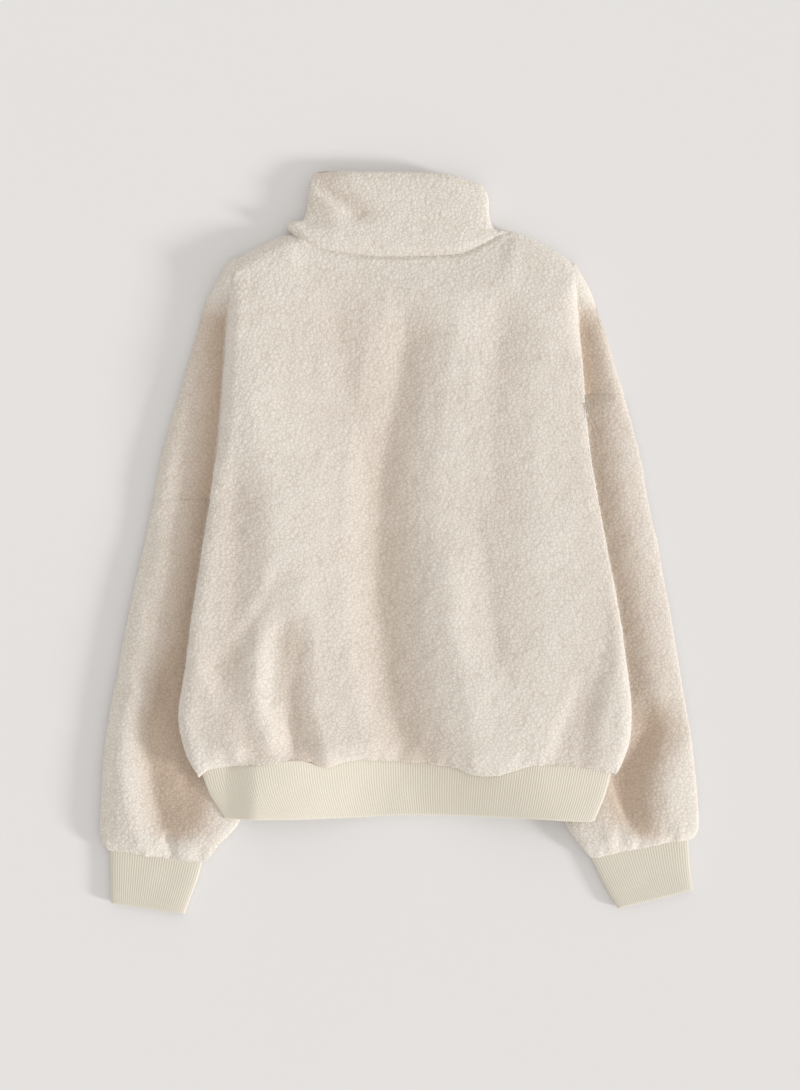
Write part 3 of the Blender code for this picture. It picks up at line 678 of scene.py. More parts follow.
    creases: tuple[Crease, ...] = (
        Crease(0.0060, 0.100, 0.095, 0.080, (
            (0.2200, -0.0650), (0.1499, -0.0510), (0.0869, -0.0344), (0.0239, -0.0330),
            (-0.0391, -0.0281), (-0.1021, -0.0270), (-0.1651, -0.0218), (-0.2365, 0.0060))),
        Crease(0.0068, 0.035, 0.048, 0.060, (
            (0.2129, 0.0066), (0.1499, -0.0029), (0.0869, -0.0155), (0.0239, -0.0197),
            (-0.0391, -0.0218), (-0.1021, -0.0155), (-0.1651, -0.0092), (-0.2365, 0.0130))),
        Crease(0.0058, 0.060, 0.040, 0.060, (
            (0.0400, -0.1740), (-0.0391, -0.1760), (-0.1021, -0.1830), (-0.1500, -0.1900),
            (-0.1800, -0.1860), (-0.2050, -0.1680), (-0.2200, -0.1520))),
        Crease(0.0024, 0.012, 0.024, 0.030, (
            (-0.0400, -0.1280), (-0.0620, -0.1380), (-0.1000, -0.1660), (-0.1250, -0.1850))),
        Crease(-0.0038, 0.030, 0.018, 0.030, (
            (-0.1350, -0.2100), (-0.1650, -0.1930), (-0.1900, -0.1800), (-0.2120, -0.1720))),
        Crease(0.0115, 0.022, 0.030, 0.050, (
            (-0.1100, -0.1230), (-0.1651, -0.1222), (-0.2124, -0.1110), (-0.2365, -0.1040))),
        Crease(0.0045, 0.045, 0.048, 0.060, (
            (0.2129, 0.1040), (0.1499, 0.0980), (0.0869, 0.0958), (0.0239, 0.0916),
            (-0.0391, 0.0958), (-0.1021, 0.1010))),
        Crease(0.0040, 0.055, 0.018, 0.060, (
            (0.2129, 0.1880), (0.0869, 0.1990), (-0.0391, 0.2130), (-0.1021, 0.2140),
            (-0.1651, 0.1960), (-0.2365, 0.1880))),
        Crease(0.0030, 0.010, 0.025, 0.030, (
            (-0.1600, 0.1880), (-0.2092, 0.1700), (-0.2365, 0.1640))),
        Crease(-0.0040, 0.045, 0.110, 0.070, (
            (-0.0391, 0.0538), (-0.1021, 0.0601), (-0.1651, 0.0727), (-0.2365, 0.0800))),
        Crease(-0.0035, 0.050, 0.090, 0.070, (
            (0.1499, -0.1540), (0.0869, -0.1450), (0.0239, -0.1400), (-0.0391, -0.1330),
            (-0.1021, -0.1400), (-0.1651, -0.1500), (-0.2365, -0.1560))),
    )

    def edge(self, side: Side, y: Array) -> Array:
        """Give the x of the body's fold edge on one side."""
        return Line(self.body_y, self.body_left if side is Side.LEFT else self.body_right)(y)

    def past_fold(self, side: Side, x: Array, y: Array) -> Array:
        """Give how far outside the body's fold on one side each place lies."""
        return (x - self.edge(side, y)) * side.value

    def inside_folds(self, x: Array, y: Array) -> Array:
        """Give how far inside the body's nearer fold each place lies."""
        return -np.maximum(self.past_fold(Side.LEFT, x, y), self.past_fold(Side.RIGHT, x, y))

    def shoulder(self, side: Side, y: Array) -> Array:
        """Give the x of the shoulder's outer edge on one side."""
        return Line(self.shoulder_y, self.shoulder_left if side is Side.LEFT else self.shoulder_right)(y)

    def armhole(self, side: Side) -> float:
        """Give the y of the armhole seam on one side."""
        return self.armhole_left if side is Side.LEFT else self.armhole_right

    def sleeve(self, side: Side) -> SleeveCut:
        """Give the sleeve of one side."""
        return self.sleeve_left if side is Side.LEFT else self.sleeve_right

    def top(self, x: Array) -> Array:
        """Give the y of the top edge: shoulder, neck seam, shoulder."""
        return Line(self.top_x, self.top_y)(x)

    def hem(self, x: Array) -> Array:
        """Give the y of the back's lower edge, where the cloth blouses over the band."""
        return Line(self.hem_x, self.hem_y)(x)

    def band_seam(self, x: Array) -> Array:
        """Give the y of the seam that joins the front and the hem band."""
        left, right = self.band_seam_ends
        across = np.clip(np.abs((2 * x - left - right) / (right - left)), 0, 1)
        return self.band_seam_middle - self.band_seam_drop * across**4

    def inside_neck(self, x: Array) -> Array:
        """Tell how far inside the neck seam's span a place is, from 0 to 1."""
        return ease((x - self.neck_left) / self.neck_end) * ease((self.neck_right - x) / self.neck_end)

    def near_neck(self, x: Array) -> Array:
        """Tell how far a place shares in the rise to the collar, from 0 on the shoulders to 1."""
        left = ease((x - self.neck_left + self.neck_lead) / self.neck_slope)
        return left * ease((self.neck_right - x + self.neck_lead) / self.neck_slope)

    def _hill(self, x: Array, y: Array, side: Side, ramp: float) -> Array:
        """Give the height that cloth over one sleeve lies at.

        Args:
            x: the places' x.
            y: the places' y.
            side: which sleeve.
            ramp: how far the cloth takes to come down to the floor.

        Returns:
            The height of the cloth's under side.
        """
        sleeve = self.sleeve(side)
        sections = len(sleeve.bed_y)
        top = Line(sleeve.bed_y, sleeve.top[:sections])(y)
        inner = Line(sleeve.bed_y, sleeve.inner_x[:sections])(y)
        past_inner = (inner - x) * side.value
        across = 1 - ease((past_inner - self.drape_touch) / ramp)
        up = 1 - ease((y - self.armhole(side) - self.drape_lead) / self.drape_ramp)
        return (top + self.drape_clearance) * across * up

    def bed(self, x: Array, y: Array) -> Array:
        """Give the height of what the body lies on: the floor, or a sleeve."""
        ramp = self.drape_ramp
        return np.maximum(self._hill(x, y, Side.LEFT, ramp), self._hill(x, y, Side.RIGHT, ramp))

    def band_bed(self, x: Array, y: Array) -> Array:
        """Bridge the slopes beside the sleeves, as the hem band does.

        Args:
            x: the places' x.
            y: the places' y.

        Returns:
            The height that the band's upper side keeps to.
        """
        ramp = self.band_ramp
        slack = sum(self._hill(x, y, side, ramp) for side in Side)
        sink = 1 - ease((x - self.band_sink_start) / self.band_sink_run)
        return np.maximum(slack, self.bed(x, y)) - self.band_sink * sink

    def crown(self, x: Array, y: Array, room: float) -> Array:
        """Give the height of the back away from its edges, where it lies on all that is under it.

        Args:
            x: the places' x.
            y: the places' y.
            room: the least height over the bed, for the layers under the back's upper side.

        Returns:
            The height of the back's upper side.
        """
        height = Line(self.body_y, self.body_crown)(y)
        for crease in self.creases:
            height = height - crease.at(x, y)
        lowest = self.bed(x, y) + room
        over = height - lowest
        return lowest + (over + np.sqrt(over**2 + self.lay_softness**2)) / 2

    def fold_dip(self, distance: Array) -> Array:
        """Give how far cloth dips beside the body's fold, where the body presses on it."""
        return self.dip_depth * bell(distance, self.dip_width)

    def painted_shade_beside_fold(self, side: Side, points: Array) -> Array:
        """Give the painted shade in the valley outside the body's fold.

        Args:
            side: which fold.
            points: the places, three coordinates to a row.

        Returns:
            A value from 0 to 1. Its inner edge is soft below the body, where no fold hides it.
        """
        x, y = points[:, 0], points[:, 1]
        past_fold = self.past_fold(side, x, y)
        below = ease((self.valley_soft_start - y) / self.valley_soft_run)
        soft = self.valley_edge + self.valley_soft_edge * below
        near = bell(past_fold, self.valley_width)
        near = near * ease((past_fold - self.valley_edge) / soft + 1)
        along = ease((y - self.valley_end) / self.valley_end_run)
        along = along * ease((self.fold_top - y) / self.valley_top_run)
        return near * along * (1.0 if side is Side.LEFT else self.valley_right_share)

    def strip_top(self, side: Side, x: Array, y: Array, top: Array) -> Array:
        """Give the height of the upper side of a shoulder strip, or of a sleeve that meets it.

        Args:
            side: which shoulder.
            x: the places' x.
            y: the places' y.
            top: each place's distance to the top edge.

        Returns:
            The height, which dips beside the fold and rolls over at the outer edge.
        """
        seam = self.side_seam_height + self.seam_gap / 2
        full = self.strip_height(y, self.fold_height)
        roll = rounded(np.abs(self.shoulder(side, y) - x), self.strip_round)
        roll = roll * rounded(top, self.edge_round)
        dip = self.fold_dip(np.abs(x - self.edge(side, y)))
        dip = dip * (1 - ease((y - self.dip_fade_start) / self.dip_fade_run))
        return np.maximum(blend(seam, full, roll) - dip, seam)

    def strip_height(self, y: Array, top: Array) -> Array:
        """Give the height of the shoulder strip outside a fold edge, which the fold runs out into."""
        near_top = ease((y - self.fold_top + self.fold_lead) / self.fold_run)
        return blend(self.shoulder_strip_height, top, near_top)


FORM = GarmentForm()
PILE = Pile()


@dataclass
class BodyPanel(ClothShell):
    """What the back and the front share: a panel between the folds, with a strip over each shoulder.

    Across, the panel itself runs from 0 to 1 and the strips outside its folds from -1 and to 2.
    """

    SAMPLES = 2001

    strip_cells: int = 6
    width: float = 0.42
    side_round: float = 0.022
    low_round: float = 0.026
    high_round: float = 0.022

    def lower_edge(self, x: Array) -> Array:
        """Give the y of the panel's lower edge."""
        raise NotImplementedError

    def seam_place(self, side: Side) -> float:
        """Find the armhole seam along the panel.

        Args:
            side: which armhole.

        Returns:
            Its place, from 0 at the hem to 1 at the top.
        """
        end = 0 if side is Side.LEFT else -1
        low = float(self.lower_edge(np.array([FORM.hem_x[end]]))[0])
        share = (FORM.armhole(side) - low) / (FORM.top_y[end] - low)
        t = np.linspace(0, 1, self.SAMPLES)
        return float(np.interp(share, rolled(t, FORM.body_length, self.low_round, self.high_round), t))

    def seamed_rows(self, rows: Array) -> Array:
        """Move the nearest row to each armhole seam.

        Args:
            rows: the places along.

        Returns:
            The same places, with two of them moved.
        """
        rows = rows.copy()
        for side in Side:
            seam = self.seam_place(side)
            rows[np.argmin(np.abs(rows - seam))] = seam
        return rows

    def lay_out(self, s: Array, t: Array) -> tuple[Array, Array, Array, Array]:
        """Find where the grid's places lie.

        Args:
            s: places across.
            t: places along.

        Returns:
            x, y, the distance to the lower edge as a share of the length, and how far out over the
            shoulder strip each place is, from 0 to 1.
        """
        v = rolled(t, FORM.body_length, self.low_round, self.high_round)
        share = rolled(np.clip(s, 0, 1), self.width, self.side_round, self.side_round)
        hem_x = blend(FORM.hem_x[0], FORM.hem_x[-1], share)
        top_x = blend(FORM.top_x[0], FORM.top_x[-1], share)
        y = blend(self.lower_edge(hem_x), FORM.top(top_x), v)
        x = blend(FORM.edge(Side.LEFT, y), FORM.edge(Side.RIGHT, y), share)
        out = np.clip(np.maximum(-s, s - 1), 0, 1)
        outer = each_side(s < 0.5, lambda side: FORM.shoulder(side, y))
        x = blend(x, outer, 0.5 * (out + ease(out)))
        return x, y, v, out

    def is_cut_away(self, s: Array, t: Array) -> Array:
        """Leave the strips out below the armhole seams."""
        left = (s < 0) & (t < self.seam_place(Side.LEFT))
        right = (s > 1) & (t < self.seam_place(Side.RIGHT))
        return left | right


@dataclass
class BackPanel(BodyPanel):
    """The back, which the photograph shows: soft upright folds, bloused over the hem band."""

    body_cells: int = 43
    row_cells: int = 55
    strip_spacing: float = 1.4
    trough_painted_shade: float = 0.45
    least_room: float = 0.0078
    fold_round: float = 0.015
    fold_drop: float = 0.055
    gather_depth: float = 0.0010
    gather_reach: float = 0.030
    gather_salt: int = 62
    armhole_rise: float = 0.029
    neck_rise: float = 0.05
    neck_step: float = 0.001
    tuck_reach: float = 0.0040
    tuck_shift: float = 0.0020
    tuck_drop: float = 0.0026
    seam_roll_reach: float = 0.0045
    seam_roll_drop: float = 0.0003
    seam_roll_start: float = 0.05
    strip_start: float = 0.2
    neck_press_width: float = 0.006
    armhole_press_width: float = 0.004
    press_depth: float = 0.0006
    press_shade: float = 0.3
    # Where the painted shade beside the folds fades out above the hem.
    valley_end: float = -0.235
    valley_end_run: float = 0.010

    def columns(self) -> Array:
        """Give the places across: strip, panel, strip, with the strips' closest cells at the folds."""
        strip = np.linspace(0, 1, self.strip_cells + 1) ** self.strip_spacing
        return np.concatenate([-strip[:0:-1], np.linspace(0, 1, self.body_cells + 1), strip[1:] + 1])

    def rows(self) -> Array:
        """Give the places along, with a row on each armhole seam."""
        return self.seamed_rows(np.linspace(0, 1, self.row_cells + 1))

    def lower_edge(self, x: Array) -> Array:
        """Give the y of the bloused lower edge."""
        return FORM.hem(x)

    def place(self, s: Array, t: Array) -> Array:
        """Give the back's upper side.

        Args:
            s: places across.
            t: places along.

        Returns:
            The points, three coordinates to a row, in metres.
        """
        x, y, v, out = self.lay_out(s, t)
        is_left = s < 0.5
        inner_x = np.where(out > 0, each_side(is_left, lambda side: FORM.edge(side, y)), x)
        z = self._height(inner_x, y, v, is_left)
        top = (1 - v) * FORM.body_length
        strip = each_side(is_left, lambda side: FORM.strip_top(side, x, y, top))
        z = np.where(out > 0, blend(z, strip, ease(out / self.fold_drop)), z)
        under_collar = (1 - ease(top / self.tuck_reach)) * FORM.inside_neck(x)
        to_armhole = np.abs(y - each_side(is_left, FORM.armhole))
        seam_roll = (1 - ease(to_armhole / self.seam_roll_reach)) * ease(out / self.seam_roll_start)
        z = z - self.tuck_drop * under_collar - self.seam_roll_drop * seam_roll
        return np.stack([x, y + self.tuck_shift * under_collar, z], axis=1)

    def _height(self, x: Array, y: Array, v: Array, is_left: Array) -> Array:
        """Give the height inside the folds.

        Args:
            x: the places' x, not outside the folds.
            y: the places' y.
            v: their distance to the lower edge, as a share of the length.
            is_left: which of them belong to the left half.

        Returns:
            The height of the upper side, which rounds off at the folds, the hem and the top.
        """
        side = FORM.inside_folds(x, y)
        top, hem = (1 - v) * FORM.body_length, v * FORM.body_length
        bed = FORM.bed(x, y)
        seam = bed + FORM.side_seam_height + FORM.seam_gap / 2
        full = FORM.crown(x, y, self.least_room)
        strip = np.maximum(FORM.strip_height(y, full), bed + FORM.wall + self.wall + FORM.seam_gap)
        past_armhole = y - each_side(is_left, FORM.armhole)
        low = blend(seam, strip, ease(past_armhole / self.armhole_rise + 1))
        height = blend(low, full, rounded(side, self.fold_round))
        over_band = FORM.band_bed(x, y) + FORM.band_height + FORM.band_clearance
        height = blend(over_band, height, rounded(hem, FORM.hem_round))
        shoulder = blend(seam, height, rounded(top, FORM.edge_round))
        neck = blend(FORM.collar_height + self.neck_step, height, ease(top / self.neck_rise))
        return blend(shoulder, neck, FORM.near_neck(x))

    def painted_shade(self, points: Array) -> Array:
        """Give the painted shade beside the folds, and in the creases between them."""
        above_hem = ease((points[:, 1] - self.valley_end) / self.valley_end_run)
        beside = sum(FORM.painted_shade_beside_fold(side, points) for side in Side) * above_hem
        return np.clip(beside + self.painted_trough_shade(points, FORM.creases), 0, 1)

    def stand_out(self, points: Array, s: Array, t: Array) -> tuple[Array, Array]:
        """Raise the pile, pressed down along the seams and gathered at the hem.

        Args:
            points: points on the cloth, three coordinates to a row.
            s: their places across.
            t: their places along.

        Returns:
            How far the surface stands out there, and the pile's tone from 0 to 1, with painted shade
            along the pressed seams.
        """
        rise, tip = PILE.stand(points)
        x, y = points[:, 0], points[:, 1]
        neck = FORM.inside_neck(x) * bell(FORM.top(x) - y, self.neck_press_width)
        to_armhole = y - each_side(s < 0.5, FORM.armhole)
        on_strip = ease(np.maximum(-s, s - 1) / self.strip_start)
        sleeve_seam = on_strip * bell(to_armhole, self.armhole_press_width)
        pressed = np.clip(neck + sleeve_seam, 0, 1)
        near_hem = 1 - ease((y - FORM.hem(x)) / self.gather_reach)
        gather = self.gather_depth * Scatter.puckers(points, self.gather_salt) * near_hem
        return rise + gather - self.press_depth * pressed, tip * (1 - self.press_shade * pressed)


@dataclass
class FrontPanel(BodyPanel):
    """The front, under the back: only its rolled side and shoulder edges show."""

    side_round: float = 0.007
    low_round: float = 0.001
    high_round: float = 0.007
    roll_share: float = 0.0255
    top_share: float = 0.02
    body_cells: int = 20
    row_cells: int = 44
    hem_gap: float = 0.00025
    on_seam: float = 1e-6
    bed_run: float = 0.014
    strip_room: float = 0.001
    lift_off: float = 0.005

    def columns(self) -> Array:
        """Give the places across, with a narrow cell for each rolled edge."""
        strip = np.linspace(0, 1, self.strip_cells + 1)
        middle = np.linspace(self.roll_share, 1 - self.roll_share, self.body_cells + 1)
        return np.concatenate([strip - 1, middle, strip + 1])

    def rows(self) -> Array:
        """Give the places along, with a narrow cell for the rolled top edge."""
        rows = np.linspace(0, 1 - self.top_share, self.row_cells + 1)
        return self.seamed_rows(np.append(rows, 1.0))

    def lower_edge(self, x: Array) -> Array:
        """Give the y of the seam to the hem band."""
        return FORM.band_seam(x) + self.hem_gap

    def place(self, s: Array, t: Array) -> Array:
        """Give the front's under side, with its edges rolled up to the seams.

        Args:
            s: places across.
            t: places along.

        Returns:
            The points, three coordinates to a row, in metres.
        """
        x, y, v, out = self.lay_out(s, t)
        is_left = s < 0.5
        outer = each_side(is_left, lambda side: FORM.shoulder(side, y))
        above = y > each_side(is_left, FORM.armhole) - self.on_seam
        to_fold = FORM.inside_folds(x, y)
        to_side = np.where(above, np.abs(outer - x), to_fold)
        top = (1 - v) * FORM.body_length
        seam_lift = FORM.side_seam_height - FORM.seam_gap / 2
        side_up = 1 - rounded(to_side, self.side_round)
        top_up = (1 - rounded(top, self.high_round)) * (1 - FORM.inside_neck(x))
        bed = FORM.bed(x, y) * np.where(above, ease(to_fold / self.bed_run), 1.0)
        z = bed + seam_lift * np.maximum(side_up, top_up)
        over = each_side(is_left, lambda side: FORM.strip_top(side, x, y, top))
        under_strip = (out > 0) & (to_side > self.side_round)
        z = np.where(under_strip, np.minimum(z, over - self.wall - self.strip_room), z)
        return np.stack([x, y, z], axis=1)

    def is_fine(self, s: Array, t: Array) -> Array:
        """Give fine faces to the edges that can be seen."""
        at_fold = (np.abs(s) < self.roll_share) | (np.abs(s - 1) < self.roll_share)
        at_shoulder = (s < -1 + 1 / self.strip_cells) | (s > 2 - 1 / self.strip_cells)
        return at_fold | at_shoulder | (t > 1 - self.top_share)

    def stand_out(self, points: Array, s: Array, t: Array) -> tuple[Array, Array]:
        """Raise the pile on the rolled edges alone, because the rest lies on the floor.

        Args:
            points: points on the cloth, three coordinates to a row.
            s: their places across.
            t: their places along.

        Returns:
            How far the surface stands out there, and the pile's tone from 0 to 1, which the finish
            paints darker in its lows as painted shade.
        """
        rise, tip = PILE.stand(points)
        lifted = points[:, 2] - FORM.bed(points[:, 0], points[:, 1])
        return rise * ease(lifted / self.lift_off), tip


@dataclass(frozen=True)
class FlatOval:
    """The section of a tube that lies flat, walked evenly from the middle of its under side."""

    POINTS = 1441

    power: float
    width: float
    height: float

    def walk(self, s: Array) -> tuple[Array, Array]:
        """Go round the section.

        Args:
            s: how far round, from 0 to 1.

        Returns:
            How far across from the middle, and how far up from it, both from -1 to 1.
        """
        way, across, lift = self._outline()
        return np.interp(s, way / way[-1], across), np.interp(s, way / way[-1], lift)

    def girth(self) -> float:
        """Give the way round, in metres."""
        return float(self._outline()[0][-1])

    def _outline(self) -> tuple[Array, Array, Array]:
        """Walk round the section at many points.

        Returns:
            The way walked in metres, and the places across and up, both from -1 to 1.
        """
        angle = -pi / 2 - 2 * pi * np.linspace(0, 1, self.POINTS)
        c, s = np.cos(angle), np.sin(angle)
        across = np.sign(c) * np.abs(c) ** (2 / self.power)
        lift = np.sign(s) * np.abs(s) ** (2 / self.power)
        steps = np.hypot(np.diff(across) * self.width / 2, np.diff(lift) * self.height / 2)
        return np.concatenate([[0.0], np.cumsum(steps)]), across, lift


@dataclass
class Sleeve(ClothShell):
    """A wide sleeve that lies on the floor behind the body, from its armhole seam to its cuff."""

    side: Side = Side.LEFT
    section: FlatOval = FlatOval(3.2, 0.150, 0.017)
    cell: float = 0.0093
    under_fullness: float = 1.08
    edge_taper: float = 0.18
    edge_taper_start: float = 0.5
    trough_painted_shade: float = 1.00
    # Where the painted shade in the sleeve's creases fades out above the cuff.
    trough_end: float = -0.322
    trough_end_run: float = 0.025
    crease_edge: float = 0.6
    crease_fade: float = 0.75
    crease_fade_start: float = 0.90
    crease_fade_run: float = 0.08
    dip_start: float = 0.20
    dip_start_run: float = 0.03
    dip_end: float = -0.295
    dip_end_run: float = 0.065
    least_share: float = 0.45
    overhang: float = 0.0028
    overhang_start: float = 0.93
    upper_edge: float = 0.5
    meeting_reach: float = 0.030
    meeting_edge: float = 0.15
    tuck_reach: float = 0.0045
    tuck_shift: float = 0.0020
    tuck_drop: float = 0.0005
    gather_depth: float = 0.0016
    gather_reach: float = 0.040
    gather_salt: int = 61
    cover_run: float = 0.004
    cover_end: float = -0.250
    cover_end_run: float = 0.02
    covered_depth: float = 0.012
    covered_end: float = -0.262
    floor_side: float = -0.95
    lift_off: float = 0.004
    press_width: float = 0.004
    press_depth: float = 0.0006
    press_shade: float = 0.3
    closed: bool = True

    @property
    def cut(self) -> SleeveCut:
        """Give the sleeve's sections and creases."""
        return FORM.sleeve(self.side)

    def _way(self) -> Array:
        """Give the way along the sleeve's middle to each section, in metres."""
        x = (np.array(self.cut.outer_x) + np.array(self.cut.inner_x)) / 2
        y = (np.array(self.cut.outer_y) + np.array(self.cut.inner_y)) / 2
        return np.concatenate([[0.0], np.cumsum(np.hypot(np.diff(x), np.diff(y)))])

    def length(self) -> float:
        """Give the sleeve's length, in metres."""
        return float(self._way()[-1])

    def columns(self) -> Array:
        """Give the places round the sleeve."""
        return np.linspace(0, 1, round(self.section.girth() / self.cell) + 1)

    def rows(self) -> Array:
        """Give the places along the sleeve."""
        return np.linspace(0, 1, round(self.length() / self.cell) + 1)

    def place(self, s: Array, t: Array) -> Array:
        """Give the sleeve's outer side: flat where it rests, with rounded folds.

        Args:
            s: places round.
            t: places along.

        Returns:
            The points, three coordinates to a row, in metres.
        """
        stations = tuple(self._way() / self.length())
        across, lift = self.section.walk(s)
        share = (1 + across) / 2
        x = blend(Line(stations, self.cut.outer_x)(t), Line(stations, self.cut.inner_x)(t), share)
        y = blend(Line(stations, self.cut.outer_y)(t), Line(stations, self.cut.inner_y)(t), share)
        to_edge = ease((-across - self.edge_taper_start) / (1 - self.edge_taper_start))
        middle = Line(stations, self.cut.top)(t) / 2 * (1 - self.edge_taper * to_edge)
        under = np.maximum(middle * (1 + self.under_fullness * lift), 0)
        z = np.where(lift > 0, middle * (1 + lift), under) - self._creased(x, y, lift, t)
        past_fold = FORM.past_fold(self.side, x, y)
        beside = ease((self.dip_start - y) / self.dip_start_run)
        beside = beside * ease((y - self.dip_end) / self.dip_end_run)
        dip = FORM.fold_dip(np.abs(past_fold)) * ease(lift) * beside
        z = np.maximum(z - dip, self.least_share * z)
        from_seam = t * self.length()
        meeting = (1 - ease(from_seam / self.meeting_reach)) * ease(lift / self.meeting_edge)
        strip = FORM.strip_top(self.side, x, y, np.ones_like(y))
        z = blend(z, strip, meeting * (past_fold > 0))
        on_top = ease(lift / self.upper_edge)
        over = self.overhang * ease((t - self.overhang_start) / (1 - self.overhang_start)) * on_top
        tuck = (1 - ease(from_seam / self.tuck_reach)) * on_top
        return np.stack([x, y - over + self.tuck_shift * tuck, z - self.tuck_drop * tuck], axis=1)

    def _creased(self, x: Array, y: Array, lift: Array, t: Array) -> Array:
        """Give how far the creases let the upper side down.

        Args:
            x: the places' x.
            y: the places' y.
            lift: how far up the section each place is, from -1 to 1.
            t: the places along.

        Returns:
            The depth, less towards the cuff.
        """
        to_cuff = ease((t - self.crease_fade_start) / self.crease_fade_run)
        share = ease(lift / self.crease_edge) * (1 - self.crease_fade * to_cuff)
        return sum(crease.at(x, y) for crease in self.cut.creases) * share

    def _inside_fold(self, points: Array) -> Array:
        """Give how far inside the body's fold each place lies, in metres."""
        return -FORM.past_fold(self.side, points[:, 0], points[:, 1])

    def painted_shade(self, points: Array) -> Array:
        """Give the painted shade beside the body, and in the sleeve's own creases."""
        above_cuff = ease((points[:, 1] - self.trough_end) / self.trough_end_run)
        painted_trough_shade = self.painted_trough_shade(points, self.cut.creases) * above_cuff
        return np.clip(FORM.painted_shade_beside_fold(self.side, points) + painted_trough_shade, 0, 1)

    def is_fine(self, s: Array, t: Array) -> Array:
        """Give fine faces to the upper side and the folds, where the body doesn't cover them."""
        points = self.place(s, t)
        covered = (self._inside_fold(points) > self.covered_depth) & (points[:, 1] > self.covered_end)
        return (self.section.walk(s)[1] > self.floor_side) & ~covered

    def stand_out(self, points: Array, s: Array, t: Array) -> tuple[Array, Array]:
        """Raise the pile, gathered into the cuff and pressed down at the armhole seam.

        Args:
            points: points on the cloth, three coordinates to a row.
            s: their places round.
            t: their places along.

        Returns:
            How far the surface stands out there, and the pile's tone from 0 to 1, with painted shade
            along the pressed seam.
        """
        rise, tip = PILE.stand(points)
        to_cuff = (1 - t) * self.length()
        near_cuff = 1 - ease(to_cuff / self.gather_reach)
        gather = self.gather_depth * Scatter.puckers(points, self.gather_salt) * near_cuff
        seam = bell(t * self.length(), self.press_width)
        above_band = ease((points[:, 1] - self.cover_end) / self.cover_end_run)
        hidden = ease(self._inside_fold(points) / self.cover_run) * above_band
        free = (1 - hidden) * ease(points[:, 2] / self.lift_off)
        return (rise + gather - self.press_depth * seam) * free, tip * (1 - self.press_shade * seam)


@dataclass
class FoldedTube(ClothShell):
    """A band that is folded double, so its outer side rolls over its open end and goes back inside.

    Along, 0 to 1 is the outer side, 1 to 2 the roll at the open end, and 2 to 3 the inner layer.
    """

    section: FlatOval = FlatOval(5.0, 0.19, 0.020)
    fold_wall: float = 0.0085
    outer_cells: int = 8
    roll_cells: int = 2
    inner_cells: int = 3
    column_cells: int = 40
    floor_side: float = -0.9
    lift_off: float = 0.004
    closed: bool = True

    def columns(self) -> Array:
        """Give the places round the band."""
        return np.linspace(0, 1, self.column_cells + 1)

    def rows(self) -> Array:
        """Give the places along.

        Returns:
            Those of the outer side, the roll and the inner layer.
        """
        outer = np.linspace(0, 1, self.outer_cells + 1)
        roll = np.linspace(1, 2, self.roll_cells + 1)[1:]
        inner = np.linspace(2, 3, self.inner_cells + 1)[1:]
        return np.concatenate([outer, roll, inner])

    def fold_back(self, t: Array) -> tuple[Array, Array, Array]:
        """Follow the sheet over its open end.

        Args:
            t: places along.

        Returns:
            How far along the band from its seam, 0 to 1; how far the sheet has gone inwards, in
            metres; and how far past the start of the roll it reaches, in metres.
        """
        radius = self.fold_wall / 2
        turn = pi * np.clip(t - 1, 0, 1)
        along = np.clip(t, 0, 1) - np.clip(t - 2, 0, 1)
        return along, radius * (1 - np.cos(turn)), radius * np.sin(turn)

    def is_fine(self, s: Array, t: Array) -> Array:
        """Give fine faces to the upper side, the folds and the roll."""
        return (self.section.walk(s)[1] > self.floor_side) & (t < 2)


